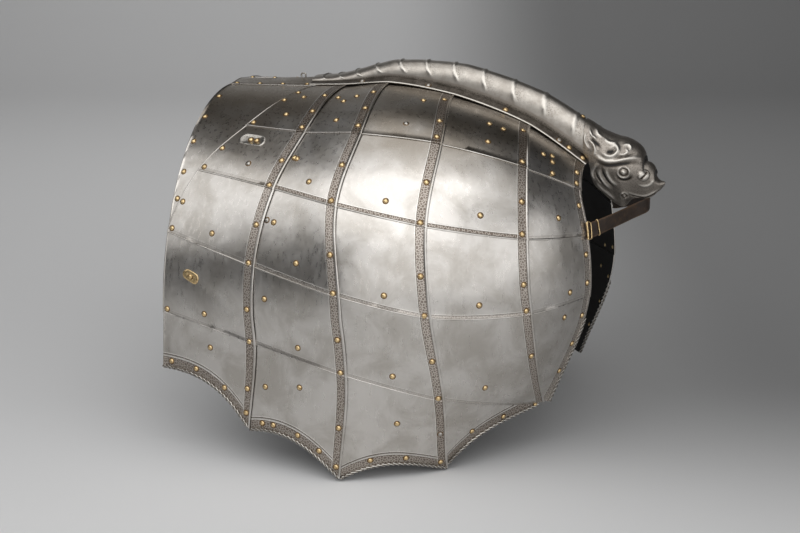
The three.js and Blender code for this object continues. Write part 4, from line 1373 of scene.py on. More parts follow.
HEAD_ROWS = (
    HeadRow("neck", (0, 78.5), (0, 30), (0, 20), 36, 34),
    HeadRow("seat", (9, 74), (9, 24), (9, 9), 38, 35),
    HeadRow("collar", (17, 69), (16, 15), (15, -6), 40, 37),
    HeadRow("gill", (28, 62), (26, 6), (22, -38), 43, 29),
    HeadRow("jaw", (42, 56), (38, 2), (38, -58), 46, 17),
    HeadRow("cheek", (60, 50), (54, -3), (58, -78), 46, 4),
    HeadRow("chin", (76, 47), (70, -7), (76, -85), 45, 1),
    HeadRow("eye", (91, 41), (86, -11), (90, -70), 42, 1),
    HeadRow("brow", (103, 33), (98, -14), (101, -66), 38, 1),
    HeadRow("forehead", (110.5, 22), (106, -17), (109, -66), 34, 1),
    HeadRow("overhang", (111.5, 13), (112, -20), (115, -66), 31, 1),
    HeadRow("notch", (109, 6), (117, -23), (121, -65), 28, 1),
    HeadRow("nose", (122, 3), (124, -26), (127, -62), 24, 1),
    HeadRow("nose_end", (131, -6), (131, -30), (133, -57), 19, 1),
    HeadRow("bridge", (132.5, -19), (136, -34), (138, -52), 15, 1),
    HeadRow("lip", (140, -29), (142, -37), (143.5, -47), 10, 1),
    HeadRow("lip_tip", (150, -32), (150, -35), (150, -38), 4, 1),
)


@dataclass(frozen=True)
class Stroke:
    """A chased line on the head's side: its places along and up, its half width and its height."""

    name: str
    carve: Carve
    points: tuple[tuple[float, float], ...]
    half: float
    height: float


STROKES = (
    Stroke("brow groove", Carve.GROOVE,
           ((26, 10), (36, 4), (48, 1), (62, 3), (78, 6), (94, 8), (108, 8)), 4.4, 2.2),
    Stroke("brow roll", Carve.RIDGE,
           ((24, 20), (34, 13), (47, 9), (62, 10), (78, 14), (94, 16), (106, 15)), 3.6, 3.4),
    Stroke("leaf heart", Carve.RIDGE, ((40, 22), (50, 18), (60, 21), (66, 30), (60, 37), (52, 34)), 3.4, 4.2),
    Stroke("leaf hollow", Carve.GROOVE, ((46, 27), (54, 26), (58, 30)), 3.0, 3.4),
    Stroke("leaf hook", Carve.RIDGE, ((70, 22), (78, 22), (83, 27), (80, 31)), 2.2, 2.8),
    Stroke("upper hook", Carve.RIDGE, ((74, 38), (83, 38), (88, 33), (85, 29)), 2.0, 2.6),
    Stroke("crown hook", Carve.RIDGE, ((38, 48), (47, 42), (56, 41), (62, 43)), 2.4, 2.8),
    Stroke("leaf fall", Carve.GROOVE, ((62, 14), (74, 18), (84, 20), (96, 24)), 2.6, 2.6),
    Stroke("collar leaf one", Carve.RIDGE, ((10, 62), (16, 52), (24, 47)), 2.2, 2.8),
    Stroke("collar leaf two", Carve.RIDGE, ((20, 64), (27, 54), (35, 50)), 2.0, 2.4),
    Stroke("collar leaf three", Carve.RIDGE, ((12, 44), (20, 38), (24, 28), (22, 20)), 2.2, 3.0),
    Stroke("collar hollow", Carve.GROOVE, ((14, 54), (20, 44), (28, 38), (34, 32)), 2.6, 2.4),
    Stroke("neck leaf edge", Carve.RIDGE, ((4, 56), (3, 46), (7, 36), (12, 30)), 2.0, 2.6),
    Stroke("jowl ridge", Carve.RIDGE, ((30, 2), (24, -5), (20, -13), (20, -22), (23, -30)), 2.4, 3.2),
    Stroke("gill fold one", Carve.GROOVE, ((27, -14), (30, -25), (38, -37)), 1.8, 2.4),
    Stroke("gill fold two", Carve.RIDGE, ((32, -8), (35, -22), (43, -36), (52, -46)), 2.6, 2.6),
    Stroke("gill fold three", Carve.GROOVE, ((38, -4), (42, -18), (50, -32), (58, -41)), 2.2, 2.8),
    Stroke("jaw roll", Carve.RIDGE, ((26, -36), (36, -48), (48, -58), (60, -70)), 2.6, 2.2),
    Stroke("cheek fold", Carve.RIDGE, ((46, -6), (49, -18), (56, -30), (66, -38)), 2.8, 2.4),
    Stroke("eye fold", Carve.GROOVE, ((66, -20), (76, -26), (88, -24), (96, -16)), 2.6, 2.0),
    Stroke("mouth line", Carve.GROOVE, ((86, -58), (98, -63), (112, -65), (126, -60), (140, -50)), 1.6, 3.2),
    Stroke("upper lip", Carve.RIDGE, ((84, -53), (97, -58), (112, -60), (126, -55), (140, -45)), 1.8, 2.0),
    Stroke("nose wing", Carve.RIDGE, ((106, -36), (116, -38), (126, -34), (131, -26)), 2.4, 1.8),
)


@dataclass(frozen=True)
class Boss:
    """A round form raised on the head's side, with a ring round it."""

    name: str
    at: tuple[float, float]
    radius: float
    height: float
    ring: float
    slit: float = 0.0


BOSSES = (
    Boss("eye", (79, -10), 4.8, 3.4, 10.4),
    Boss("nostril", (114, -17), 10.5, 5.0, 0.0, slit=1.5),
    Boss("mouth scroll", (78, -60), 2.6, 2.2, 6.6),
)


@dataclass
class MonsterHead:
    """The sea monster's head that ends the tail guard: one embossed hood."""

    finishes: Finishes
    length: float = 150.0
    wall: float = 1.6
    along: int = 200
    around: int = 84
    square: float = 0.9

    def lines(self) -> tuple[Array, Array, Array, Array, Array]:
        """Returns the crest, waist and lower lines and the two half widths along the head."""
        count = self.along
        knots = np.linspace(0, 1, len(HEAD_ROWS))
        even = np.linspace(0, 1, count)

        def through(values: Array) -> Array:
            return curve_at(knots, values, knot_slopes(knots, values, False), even)

        tops = np.array([row.top for row in HEAD_ROWS], float)
        waists = np.array([row.waist for row in HEAD_ROWS], float)
        lows = np.array([row.low for row in HEAD_ROWS], float)
        top, waist, low = (np.stack([through(v) for v in line.T], axis=1) for line in (tops, waists, lows))
        half = through(np.array([row.half for row in HEAD_ROWS], float))
        under = through(np.array([row.under for row in HEAD_ROWS], float))
        return top, waist, low, half, under

    def side(self) -> tuple[Array, Array]:
        """Returns the plain left side, from the crest to the lower line, as along, out and up."""
        top, waist, low, half, under = self.lines()
        turn = np.linspace(0, 2, self.around)
        angle = turn * math.pi / 2
        over = turn <= 1
        sine = np.maximum(np.sin(angle), 0) ** self.square
        cosine = np.abs(np.cos(angle)) ** self.square
        reach = cosine[None, :, None]
        upper = waist[:, None] + (top - waist)[:, None] * reach
        lower_share = (1 - np.sqrt(np.clip(1 - np.cos(angle) ** 2, 0, 1)))[None, :, None]
        lower = waist[:, None] + (low - waist)[:, None] * np.where(over[None, :, None], 0, lower_share ** 0.8)
        place = np.where(over[None, :, None], upper, lower)
        out_low = under[:, None] + (half - under)[:, None] * sine[None]
        out = np.where(over[None], half[:, None] * sine[None], out_low)
        return place, out

    def carve(self, place: Array) -> tuple[Array, Array]:
        """Works out the chasing.

        Args:
            place: along and up of each point.

        Returns:
            How far each point is raised, and its painted light: painted highlight on ridges, bosses and
            rings, painted shade in grooves, moats and the slit.
        """
        lift = np.zeros(place.shape[:-1])
        # shine is painted light, read by the chased steel as its relief attribute
        shine = np.full(place.shape[:-1], 0.46)
        for stroke in STROKES:
            line = spline(stroke.points, 40)
            gap = np.full(place.shape[:-1], 1e9)
            where = np.zeros(place.shape[:-1])
            for i, point in enumerate(line):
                distance = np.hypot(place[..., 0] - point[0], place[..., 1] - point[1])
                where = np.where(distance < gap, i / (len(line) - 1), where)
                gap = np.minimum(gap, distance)
            taper = np.sqrt(np.clip(np.sin(np.clip(where, 0.02, 0.98) * math.pi), 0, 1))
            bump = np.exp(-(gap / stroke.half) ** 2) * taper
            lift += stroke.carve.value * stroke.height * bump
            shine += stroke.carve.value * 0.5 * bump
        for boss in BOSSES:
            away = place - np.array(boss.at)
            distance = np.hypot(away[..., 0], away[..., 1])
            dome = np.sqrt(np.clip(1 - (distance / boss.radius) ** 2, 0, 1))
            lift += boss.height * dome
            shine += 0.35 * dome
            if boss.ring:
                ring = np.exp(-((distance - boss.ring) / 1.5) ** 2)
                moat = np.exp(-((distance - (boss.ring + boss.radius) / 2) / 1.3) ** 2)
                lift += 2.2 * ring - 1.2 * moat
                shine += 0.45 * ring - 0.4 * moat
            if boss.slit:
                slant = np.abs(away[..., 0] - away[..., 1]) / math.sqrt(2)
                slit = np.exp(-(slant / boss.slit) ** 2) * smooth(boss.radius, boss.radius * 0.6, distance)
                lift -= 3.4 * slit
                shine -= 0.9 * slit
        return lift, np.clip(shine, 0, 1.2)

    def build(self) -> None:
        """Builds the head in place of its solid."""
        place, out = self.side()
        lift, shine = self.carve(place)
        end, _, _ = SHELL.ridge_frame(np.array([float(LAST)]))
        start = SHELL.length / 2 - self.length
        left = np.stack([place[..., 0] + start, -out, place[..., 1] + end[0, 2]], axis=-1)
        along, around = np.gradient(left, axis=0), np.gradient(left, axis=1)
        normal = unit(np.cross(around, along))
        normal = np.where((normal[..., 1:2] > 0), -normal, normal)
        edge = smooth(0, 5, np.abs(out))
        raised = left + normal * (lift * edge)[..., None]
        inner = left - normal * self.wall
        raised[:, 0, 1] = 0
        right = raised[:, 1:][:, ::-1] * FLIP
        inner_right = inner[:, 1:][:, ::-1] * FLIP
        inner[:, 0, 1] = 0
        grid = np.concatenate([right, raised], axis=1)
        hollow = np.concatenate([inner_right, inner], axis=1)
        both = np.concatenate([shine[:, 1:][:, ::-1], shine], axis=1)
        values = {"relief": both, "hatch": np.clip(0.95 - both, 0, 0.6)}
        sheet = Sheet("sea_monster_head", grid, hollow, values=values, sharp=70)
        dress(sheet.build([self.finishes.chased, self.finishes.black]), "embossed_steel", "tail_guard_head")
        log.info("head: %d chased lines, %d bosses", len(STROKES), len(BOSSES))


# Strap and its brass


@dataclass
class TailStrap:
    """The leather strap round the tail, with its buckle and its keeper."""

    finishes: Finishes
    width: float = 28.0
    thick: float = 2.4
    bow: float = 84.0
    rise: float = 22.0
    row: float = 1.88
    lap: float = 0.06
    turn: float = 0.25
    wire: float = 3.0
    buckle_length: float = 13.0
    margin: float = 3.0
    buckle_at: float = 0.02
    keeper_at: float = 0.1
    keeper_length: float = 5.0
    # back is a share of the bow, across of the half distance between the ends, rise of the strap's rise
    route: tuple[tuple[float, float, float], ...] = (
        (0.38, -0.55, 0.32), (0.73, -0.08, 0.68), (1, 0.25, 1), (0.87, 0.59, 0.86), (0.42, 0.86, 0.5),
    )

    def centre(self, count: int) -> Array:
        """Returns the strap's centre line from the left edge to the right edge."""
        level = SHELL.layer_gap + self.thick / 2
        rows = np.array([self.row, self.row])
        foot, edge = SHELL.level(np.array([LAST - self.lap, LAST]), rows, np.array([level, level]))
        points = [foot, edge]
        for back, across, rise in self.route:
            points.append(edge * [1, -across, 1] + [back * self.bow, 0, rise * self.rise])
        points.extend([edge * FLIP, foot * FLIP])
        return spline(points, count)

    def frames(self, count: int) -> tuple[Array, Array, Array, Array]:
        """Returns the strap's centre line with its ways along, out and up."""
        path = self.centre(count)
        along = unit(np.gradient(path, axis=0))
        share = np.linspace(0, 1, count)
        edge_up = -SHELL.ribs[LAST].down_at(np.array([self.row]))[0]
        ends = np.where((share < 0.5)[:, None], edge_up, edge_up * FLIP)
        upright = smooth(0, self.turn, np.minimum(share, 1 - share))[:, None]
        rise = blend_between(ends, np.array([0.0, 0.0, 1.0]), upright)
        out = unit(np.cross(along, rise))
        return path, along, out, np.cross(out, along)

    def build(self) -> None:
        """Builds the strap, the buckle and the keeper."""
        path, along, out, up = self.frames(150)
        lines = 15
        across = np.linspace(-1, 1, lines)
        crown = self.thick / 2 * np.clip(1 - np.abs(across) ** 14, 0.3, 1)
        width = across * self.width / 2
        middle = path[:, None] + up[:, None] * width[None, :, None]
        outer = middle + out[:, None] * crown[None, :, None]
        inner = middle - out[:, None] * crown[None, :, None]
        edge = np.broadcast_to(smooth(0.8, 0.97, np.abs(across)), (len(path), lines))
        sheet = Sheet("leather_tail_strap", outer, inner, values={"edge": edge})
        dress(sheet.build([self.finishes.leather]), "leather", "tail_strap")
        self.buckle(path, along, out, up)
        self.keeper(path, along, out, up)
        log.info("tail strap: %.0f mm", run_along(path)[-1])

    def ring(self, name: str, node: str, corners: Array, axes: tuple[Array, Array], normal: Array,
             bar: float = 0.0) -> None:
        """Builds a closed brass wire.

        Args:
            name: the piece's name.
            node: the solid that it stands for.
            corners: points that its centre line passes, relative to its middle, on the two axes.
            axes: its middle with the first axis, and the second axis.
            normal: across the ring.
            bar: how much thicker it is on its front side.
        """
        middle, first = axes[0][0], axes[0][1]
        loop = np.concatenate([corners, corners[:1]])
        flat = spline(loop, 64)[:-1]
        path = middle + first * flat[:, :1] + axes[1] * flat[:, 1:]
        before, after = np.roll(path, 1, axis=0), np.roll(path, -1, axis=0)
        along = unit(after - before)
        side = unit(np.cross(normal, along))
        angle = np.linspace(0, 2 * math.pi, 10, endpoint=False)
        thick = 0.4 * self.wire + bar * smooth(0.5, 0.8, -flat[:, 0] / np.abs(flat[:, 0]).max())
        rings = path[:, None] + thick[:, None, None] * (
            side[:, None] * np.cos(angle)[None, :, None] + normal * np.sin(angle)[None, :, None])
        rows, columns = rings.shape[:2]
        points = SHELL.placed(rings.reshape(-1, 3)) * MM
        quads = np.array(ring_quads(rows, columns, True))
        if Sheet.volume(points, quads) < 0:
            quads = quads[:, ::-1]
        mesh = bpy.data.meshes.new(name)
        mesh.from_pydata(points.tolist(), [], quads.tolist())
        mesh.materials.append(self.finishes.brass)
        dress(finish_mesh(name, mesh, 60), "brass", node)

    def buckle(self, path: Array, along: Array, out: Array, up: Array) -> None:
        """Builds the buckle's frame, with its straight bar in front."""
        i = round(self.buckle_at * (len(path) - 1))
        lift = self.thick / 2 + 2 * SHELL.layer_gap + self.wire / 2
        middle = path[i] + out[i] * lift
        half = self.buckle_length / 2 - self.wire / 2
        tall = self.width / 2 + self.margin - self.wire / 2
        corners = np.array([
            (-half, -tall), (-half, 0), (-half, tall), (0, tall * 1.02), (half * 0.8, tall * 0.9),
            (half, tall * 0.5), (half, -tall * 0.5), (half * 0.8, -tall * 0.9), (0, -tall * 1.02)])
        self.ring(
            "brass_buckle", "strap_buckle", corners, ((middle, along[i]), up[i]), out[i], 0.2 * self.wire)

    def keeper(self, path: Array, along: Array, out: Array, up: Array) -> None:
        """Builds the keeper, a flat loop round the strap."""
        i = round(self.keeper_at * (len(path) - 1))
        half = self.thick / 2 + 2 * SHELL.layer_gap + 0.7
        tall = self.width / 2 + SHELL.layer_gap + 0.7
        corners = np.array([
            (-half, -tall * 0.8), (-half, 0), (-half, tall * 0.8), (0, tall), (half, tall * 0.8),
            (half, 0), (half, -tall * 0.8), (0, -tall)])
        self.ring("brass_keeper", "strap_keeper", corners, ((path[i], out[i]), up[i]), along[i])


# Small plates on the left side


@dataclass
class SmallPlate:
    """A small plate with rounded ends that follows a lame of the left side."""

    name: str
    node: str
    slot: str
    column: int
    row: int
    across: float
    down: float
    long: float
    wide: float
    thick: float = 1.6
    hole: tuple[float, float] = (0.0, 0.0)
    tilt: float = 0.0
    rimmed: bool = False
    pins: tuple[float, ...] = ()  # places of its rivets along its middle line

    def __post_init__(self) -> None:
        """Finds the plate's own axes on the lame."""
        step = 0.02
        here, side, low = SHELL.lame_point(
            self.column, self.row, self.across + np.array([0, step, 0]), self.down + np.array([0, 0, step]),
            np.zeros(3))
        ways = np.stack([(side - here) / step, (low - here) / step], axis=1)
        first = unit(ways[:, 0])
        self.out = unit(np.cross(ways[:, 1], ways[:, 0]))
        second = np.cross(self.out, first)
        turned = math.radians(self.tilt)
        self.long_way = first * math.cos(turned) + second * math.sin(turned)
        self.wide_way = second * math.cos(turned) - first * math.sin(turned)
        self.inverse = np.linalg.pinv(ways)

    def over(self, plan: Array, level: float) -> Array:
        """Returns points at a level over the lame, from places on the plate's long and wide axes."""
        flat = plan[:, :1] * self.long_way + plan[:, 1:] * self.wide_way
        moves = flat @ self.inverse.T
        across, down = self.across + moves[:, 0], self.down + moves[:, 1]
        return SHELL.lame_point(self.column, self.row, across, down, np.full(len(plan), level))

    def build(self, material: Material) -> None:
        """Builds the plate as rings from its middle or its hole to its edge."""
        shares = [(0.0, 0.4), (0.3, 1.0), (0.88, 1.0), (0.96, 0.8), (1.0, 0.3), (1.0, -0.2)]
        if self.rimmed:
            shares = [(0.0, 0.45), (0.72, 0.45), (0.8, 1.1), (0.9, 1.2), (0.97, 0.9), (1.0, 0.3), (1.0, -0.2)]
        rings = [self.over(self.outline(share), level * self.thick) for share, level in shares]
        if self.hole[0]:
            rings.insert(0, rings[0] - self.out * self.thick)
        dress(solid_from_rings(self.name, np.array(rings), material, 50), self.slot, self.node)
        log.info("%s: %.0f by %.0f mm", self.name, self.long, self.wide)

    def feet(self) -> tuple[Array, Array]:
        """Returns its rivets' feet and directions."""
        plan = np.array([(pin, 0.0) for pin in self.pins])
        return self.over(plan, 0.6 * self.thick), np.tile(self.out, (len(plan), 1))

    def outline(self, share: float) -> Array:
        """Returns a rounded outline at a share of the way from the middle or the hole to the edge."""
        angle = np.linspace(0, 2 * math.pi, 48, endpoint=False)

        def stadium(long: float, wide: float) -> Array:
            radius = wide / 2
            straight = (long - wide) / 2
            end = np.cos(angle)
            x = radius * end + straight * np.sign(end) * smooth(0, 0.3, np.abs(end))
            return np.stack([x, radius * np.sin(angle)], axis=1)

        outer = stadium(self.long, self.wide)
        inner = stadium(*self.hole) if self.hole[0] else outer * 0.02
        return blend_between(inner, outer, share)


# Rivets


@dataclass(frozen=True)
class SeamRivets:
    """Rivets on the border of one column: row lines, each counted from the ridge."""

    column: int
    rows: tuple[float, ...]


SEAM_RIVETS = (
    SeamRivets(1, (0.35, 0.66, 0.93, 1.53, 1.96, 2.52, 2.97, 3.4, 3.97, 4.6)),
    SeamRivets(2, (0.3, 0.62, 0.89, 1.46, 1.94, 2.58, 2.97, 3.49, 3.96, 4.55)),
    SeamRivets(3, (0.22, 0.67, 0.91, 1.5, 1.96, 2.54, 2.96, 3.52, 3.96)),
    SeamRivets(4, (0.3, 0.92, 1.51, 1.93, 2.52, 2.92, 3.38)),
    SeamRivets(5, (0.58, 0.87, 1.37, 2.34, 2.79, 3.17, 3.38, 3.58)),
)
FRONT_SEAM_RIVETS = (0.29, 0.48, 0.93, 1.51, 1.92, 2.52, 2.92)
FRONT_EDGE_RIVETS = (0.47, 0.93, 1.47, 2.07, 2.5)
HEM_RIVETS = ((0.1, 0.38, 0.7, 0.95), (0.13, 0.25, 0.52, 0.76, 0.95), (0.27, 0.6, 0.93), (0.25, 0.57, 0.9))


# Rivets in the fields, by column and row, as shares of the way across and down the lame
BRASS_FIELD_RIVETS = {
    (1, 1): ((0.42, 0.4), (0.46, 0.74)), (1, 3): ((0.49, 0.8),), (1, 4): ((0.46, 0.84),),
    (1, 5): ((0.52, 0.38),), (2, 1): ((0.17, 0.38), (0.35, 0.47), (0.56, 0.38), (0.43, 0.8)),
    (2, 2): ((0.06, 0.44), (0.11, 0.45), (0.48, 0.77)), (2, 3): ((0.13, 0.42), (0.49, 0.8)),
    (2, 4): ((0.13, 0.25), (0.48, 0.79)), (2, 5): ((0.12, 0.5), (0.49, 0.37)), (3, 1): ((0.63, 0.34),),
    (3, 2): ((0.52, 0.8),), (3, 3): ((0.5, 0.83),), (3, 4): ((0.47, 0.82),), (3, 5): ((0.5, 0.45),),
    (4, 1): ((0.5, 0.45), (0.67, 0.46), (0.5, 0.78)), (4, 2): ((0.5, 0.77),), (4, 3): ((0.47, 0.79),),
    (4, 4): ((0.4, 0.72),), (5, 1): ((0.27, 0.6), (0.43, 0.53), (0.44, 0.67), (0.44, 0.9)),
    (5, 2): ((0.5, 0.67),), (5, 3): ((0.62, 0.83),), (5, 4): ((0.55, 0.13),),
}
STEEL_FIELD_RIVETS = {
    (1, 2): ((0.54, 0.7),), (2, 3): ((0.03, 0.42),), (3, 1): ((0.5, 0.79),),
}


@dataclass
class Rivets:
    """Every rivet head: hammered brass or steel domes with a dark ring round the foot, a stain that is also
    painted contact shade.
    """

    finishes: Finishes
    head: float = 4.6
    tall: float = 3.0
    halo: float = 6.0
    seam_inset: float = 13.2
    rear_inset: float = 12.0
    front_inset: float = 9.0
    hem_inset: float = 15.0
    crest_back: float = 9.0  # the crest's rivet, ahead of the head
    brass_points: list[Array] = field(default_factory=list)
    brass_ways: list[Array] = field(default_factory=list)
    steel_points: list[Array] = field(default_factory=list)
    steel_ways: list[Array] = field(default_factory=list)

    def add(self, points: Array, ways: Array, steel: bool = False, both: bool = True) -> None:
        """Keeps rivets' feet and directions.

        Args:
            points: feet on the left side, in millimetres.
            ways: directions out.
            steel: True for steel heads.
            both: True to set them on the right side too.
        """
        feet, facing = (self.steel_points, self.steel_ways) if steel else (self.brass_points, self.brass_ways)
        feet.append(points)
        facing.append(ways)
        if both:
            feet.append(points * FLIP)
            facing.append(ways * FLIP)

    def on_lame(self, column: int, row: int, across: Any, down: Any, steel: bool = False) -> None:
        """Sets rivets on a lame of both sides, at numbers or arrays of shares."""
        s, t, level = SHELL.lame_place(column, row, np.atleast_1d(across), np.atleast_1d(down))
        self.add(SHELL.level(s, t, level), SHELL.outward(s, t), steel)

    @staticmethod
    def width_at(column: int, row: int, down: float) -> float:
        """Returns a lame's width at a share of the way down it."""
        probe = np.linspace(0, 1, 9)
        return float(run_along(SHELL.lame_point(column, row, probe, np.full(9, down), np.zeros(9)))[-1])

    def seams(self) -> None:
        """Sets the rivets of the upright borders."""
        for seam in SEAM_RIVETS:
            inset = self.rear_inset if seam.column == 5 else self.seam_inset
            for line in seam.rows:
                row = min(int(line) + 1, 5)
                down = line - row + 1
                width = self.width_at(seam.column, row, down)
                self.on_lame(seam.column, row, 1 - min(inset / width, 0.6), down)
        self.on_lame(3, 5, 0.93, 0.47, steel=True)
        for line in FRONT_SEAM_RIVETS:
            row = int(line) + 1
            down = line - row + 1
            self.on_lame(1, row, self.front_inset / self.width_at(1, row, down), down)

    def front_edge(self) -> None:
        """Sets the rivets behind the rolled front edge."""
        t = np.array(FRONT_EDGE_RIVETS)
        s = np.full(len(t), self.front_inset * 1.2 / 240)
        self.add(SHELL.level(s, t, np.full(len(t), -SHELL.column_step)), SHELL.outward(s, t))
        low = np.array([3.96])
        s = np.array([0.05])
        self.add(SHELL.level(s, low, np.zeros(1)), SHELL.outward(s, low))

    def hem(self) -> None:
        """Sets the rivets of the hem's border."""
        for index, shares in enumerate(HEM_RIVETS):
            across = np.array(shares)
            ends = SHELL.lame_point(index + 1, 5, np.array([0.5, 0.5]), np.array([0.0, 1.0]), np.zeros(2))
            height = float(np.linalg.norm(ends[1] - ends[0]))
            self.on_lame(index + 1, 5, across, np.full(len(across), 1 - self.hem_inset / height))

    def fields(self) -> None:
        """Sets the single rivets in the lames' fields."""
        for table, steel in ((BRASS_FIELD_RIVETS, False), (STEEL_FIELD_RIVETS, True)):
            for (column, row), spots in table.items():
                across, down = np.array(spots).T
                self.on_lame(column, row, across, down, steel)

    def ridge_rivets(self, guard: TailGuard) -> None:
        """Sets the rivets of the spine strip, the guard's flanges and the joint with the head."""
        strip_s = np.array([0.05, 0.25, 0.45, 0.66])
        y = np.full(4, -38.0)
        level = np.full(4, SHELL.layer_gap + SHELL.plate - SHELL.column_step)
        _, _, out = SHELL.ridge_frame(strip_s)
        self.add(SHELL.ridge(strip_s, y, level), out)
        runs = (
            (0.185, True), (0.415, True), (0.685, False), (0.885, True), (0.925, False), (0.98, False),
        )
        for share, steel in runs:
            s = guard.station(np.array([share * guard.length]))
            self.add(*self.flange_foot(s), steel=steel)
        s = guard.station(np.linspace(guard.length / 2, guard.length, 90))
        here, _, out = SHELL.ridge_frame(s)
        top = SHELL.between_ribs("crest", s) * guard.crest + SHELL.layer_gap + guard.relief
        crest = here + out * top[:, None]
        near = int(np.argmin(np.abs(crest[:, 0] - SHELL.length / 2 + MonsterHead.length + self.crest_back)))
        self.add(crest[near:near + 1], out[near:near + 1], both=False)

    @staticmethod
    def flange_foot(s: Array) -> tuple[Array, Array]:
        """Returns a foot on the guard's flange and its direction out."""
        here, _, out = SHELL.ridge_frame(s)
        peak = SHELL.between_ribs("peak", s)
        y = 36.0
        points = here + out * (peak * (SHELL.ridge_half - y) + SHELL.layer_gap)[:, None]
        points[:, 1] = -y
        facing = out.copy()
        facing[:, 1] -= peak
        return points, unit(facing)

    def tree(self) -> Tree:
        """Builds the rivet tree: a dome and its dark ring, stain and painted contact shade, at every point,
        turned along its facing.
        """
        tree, add, start = new_geometry_tree("rivet_heads", {
            "Head Radius": ("NodeSocketFloat", 0.005),
            "Head Height": ("NodeSocketFloat", 0.003),
            "Grime Radius": ("NodeSocketFloat", 0.006),
            "Head Finish": ("NodeSocketMaterial", None),
            "Grime Finish": ("NodeSocketMaterial", None),
        })
        points, wide, tall, foot, *finishes = start.outputs[:6]
        facing = add("GeometryNodeInputNamedAttribute", {"data_type": "FLOAT_VECTOR"}, ["facing"])
        turn = add("FunctionNodeAlignEulerToVector", {"axis": "Z"}, {
            "Vector": facing.outputs["Attribute"]})
        ball = add("GeometryNodeMeshUVSphere", None, {"Segments": 12, "Rings": 8, "Radius": 1.0})
        size = add("ShaderNodeCombineXYZ", None, [wide, wide, tall])
        dome = add("GeometryNodeTransform", None, {"Geometry": ball, "Scale": size})
        soft = add("GeometryNodeSetShadeSmooth", None, {"Geometry": dome})
        # the ring round each foot carries the stain and the painted contact shade
        ring = add("GeometryNodeMeshCone", None, {
            "Vertices": 14, "Radius Top": wide, "Radius Bottom": foot, "Depth": 0.0006})
        parts = []
        for shape, finish in ((soft, finishes[0]), (ring, finishes[1])):
            copies = add("GeometryNodeInstanceOnPoints", None, {
                "Points": points, "Instance": shape, "Rotation": turn})
            real = add("GeometryNodeRealizeInstances", None, {"Geometry": copies})
            parts.append(add("GeometryNodeSetMaterial", None, {
                "Geometry": real, "Material": finish}))
        join = add("GeometryNodeJoinGeometry", None, {"Geometry": parts[0]})
        tree.links.new(parts[1].outputs[0], join.inputs[0])
        add("NodeGroupOutput", None, {"Geometry": join})
        return tree

    def make(self, name: str, slot: str, feet: list[Array], ways: list[Array], finish: Material,
             tree: Tree) -> None:
        """Makes one object of all rivets of a metal."""
        points = SHELL.placed(np.concatenate(feet)) * MM
        mesh = bpy.data.meshes.new(name)
        mesh.from_pydata(points.tolist(), [], [])
        attribute = mesh.attributes.new("facing", "FLOAT_VECTOR", "POINT")
        attribute.data.foreach_set("vector", np.concatenate(ways).ravel().astype(np.float32))
        piece = bpy.data.objects.new(name, mesh)
        bpy.context.scene.collection.objects.link(piece)
        apply_tree(piece, tree, {
            "Head Radius": self.head * MM,
            "Head Height": self.tall * MM,
            "Grime Radius": self.halo * MM,
            "Head Finish": finish,
            "Grime Finish": self.finishes.stain_and_shade_ring,
        })
        dress(piece, slot)
        log.info("%s: %d", name, len(points))

    def build(self, guard: TailGuard, plates: Sequence[SmallPlate]) -> None:
        """Sets all rivets and makes their objects."""
        for plate in plates:
            self.add(*plate.feet(), both=False)
        self.seams()
        self.front_edge()
        self.hem()
        self.fields()
        self.ridge_rivets(guard)
        tree = self.tree()
        self.make("brass_rivets", "brass", self.brass_points, self.brass_ways, self.finishes.brass, tree)
        self.make("steel_rivets", "steel", self.steel_points, self.steel_ways, self.finishes.iron, tree)


# Roped hem


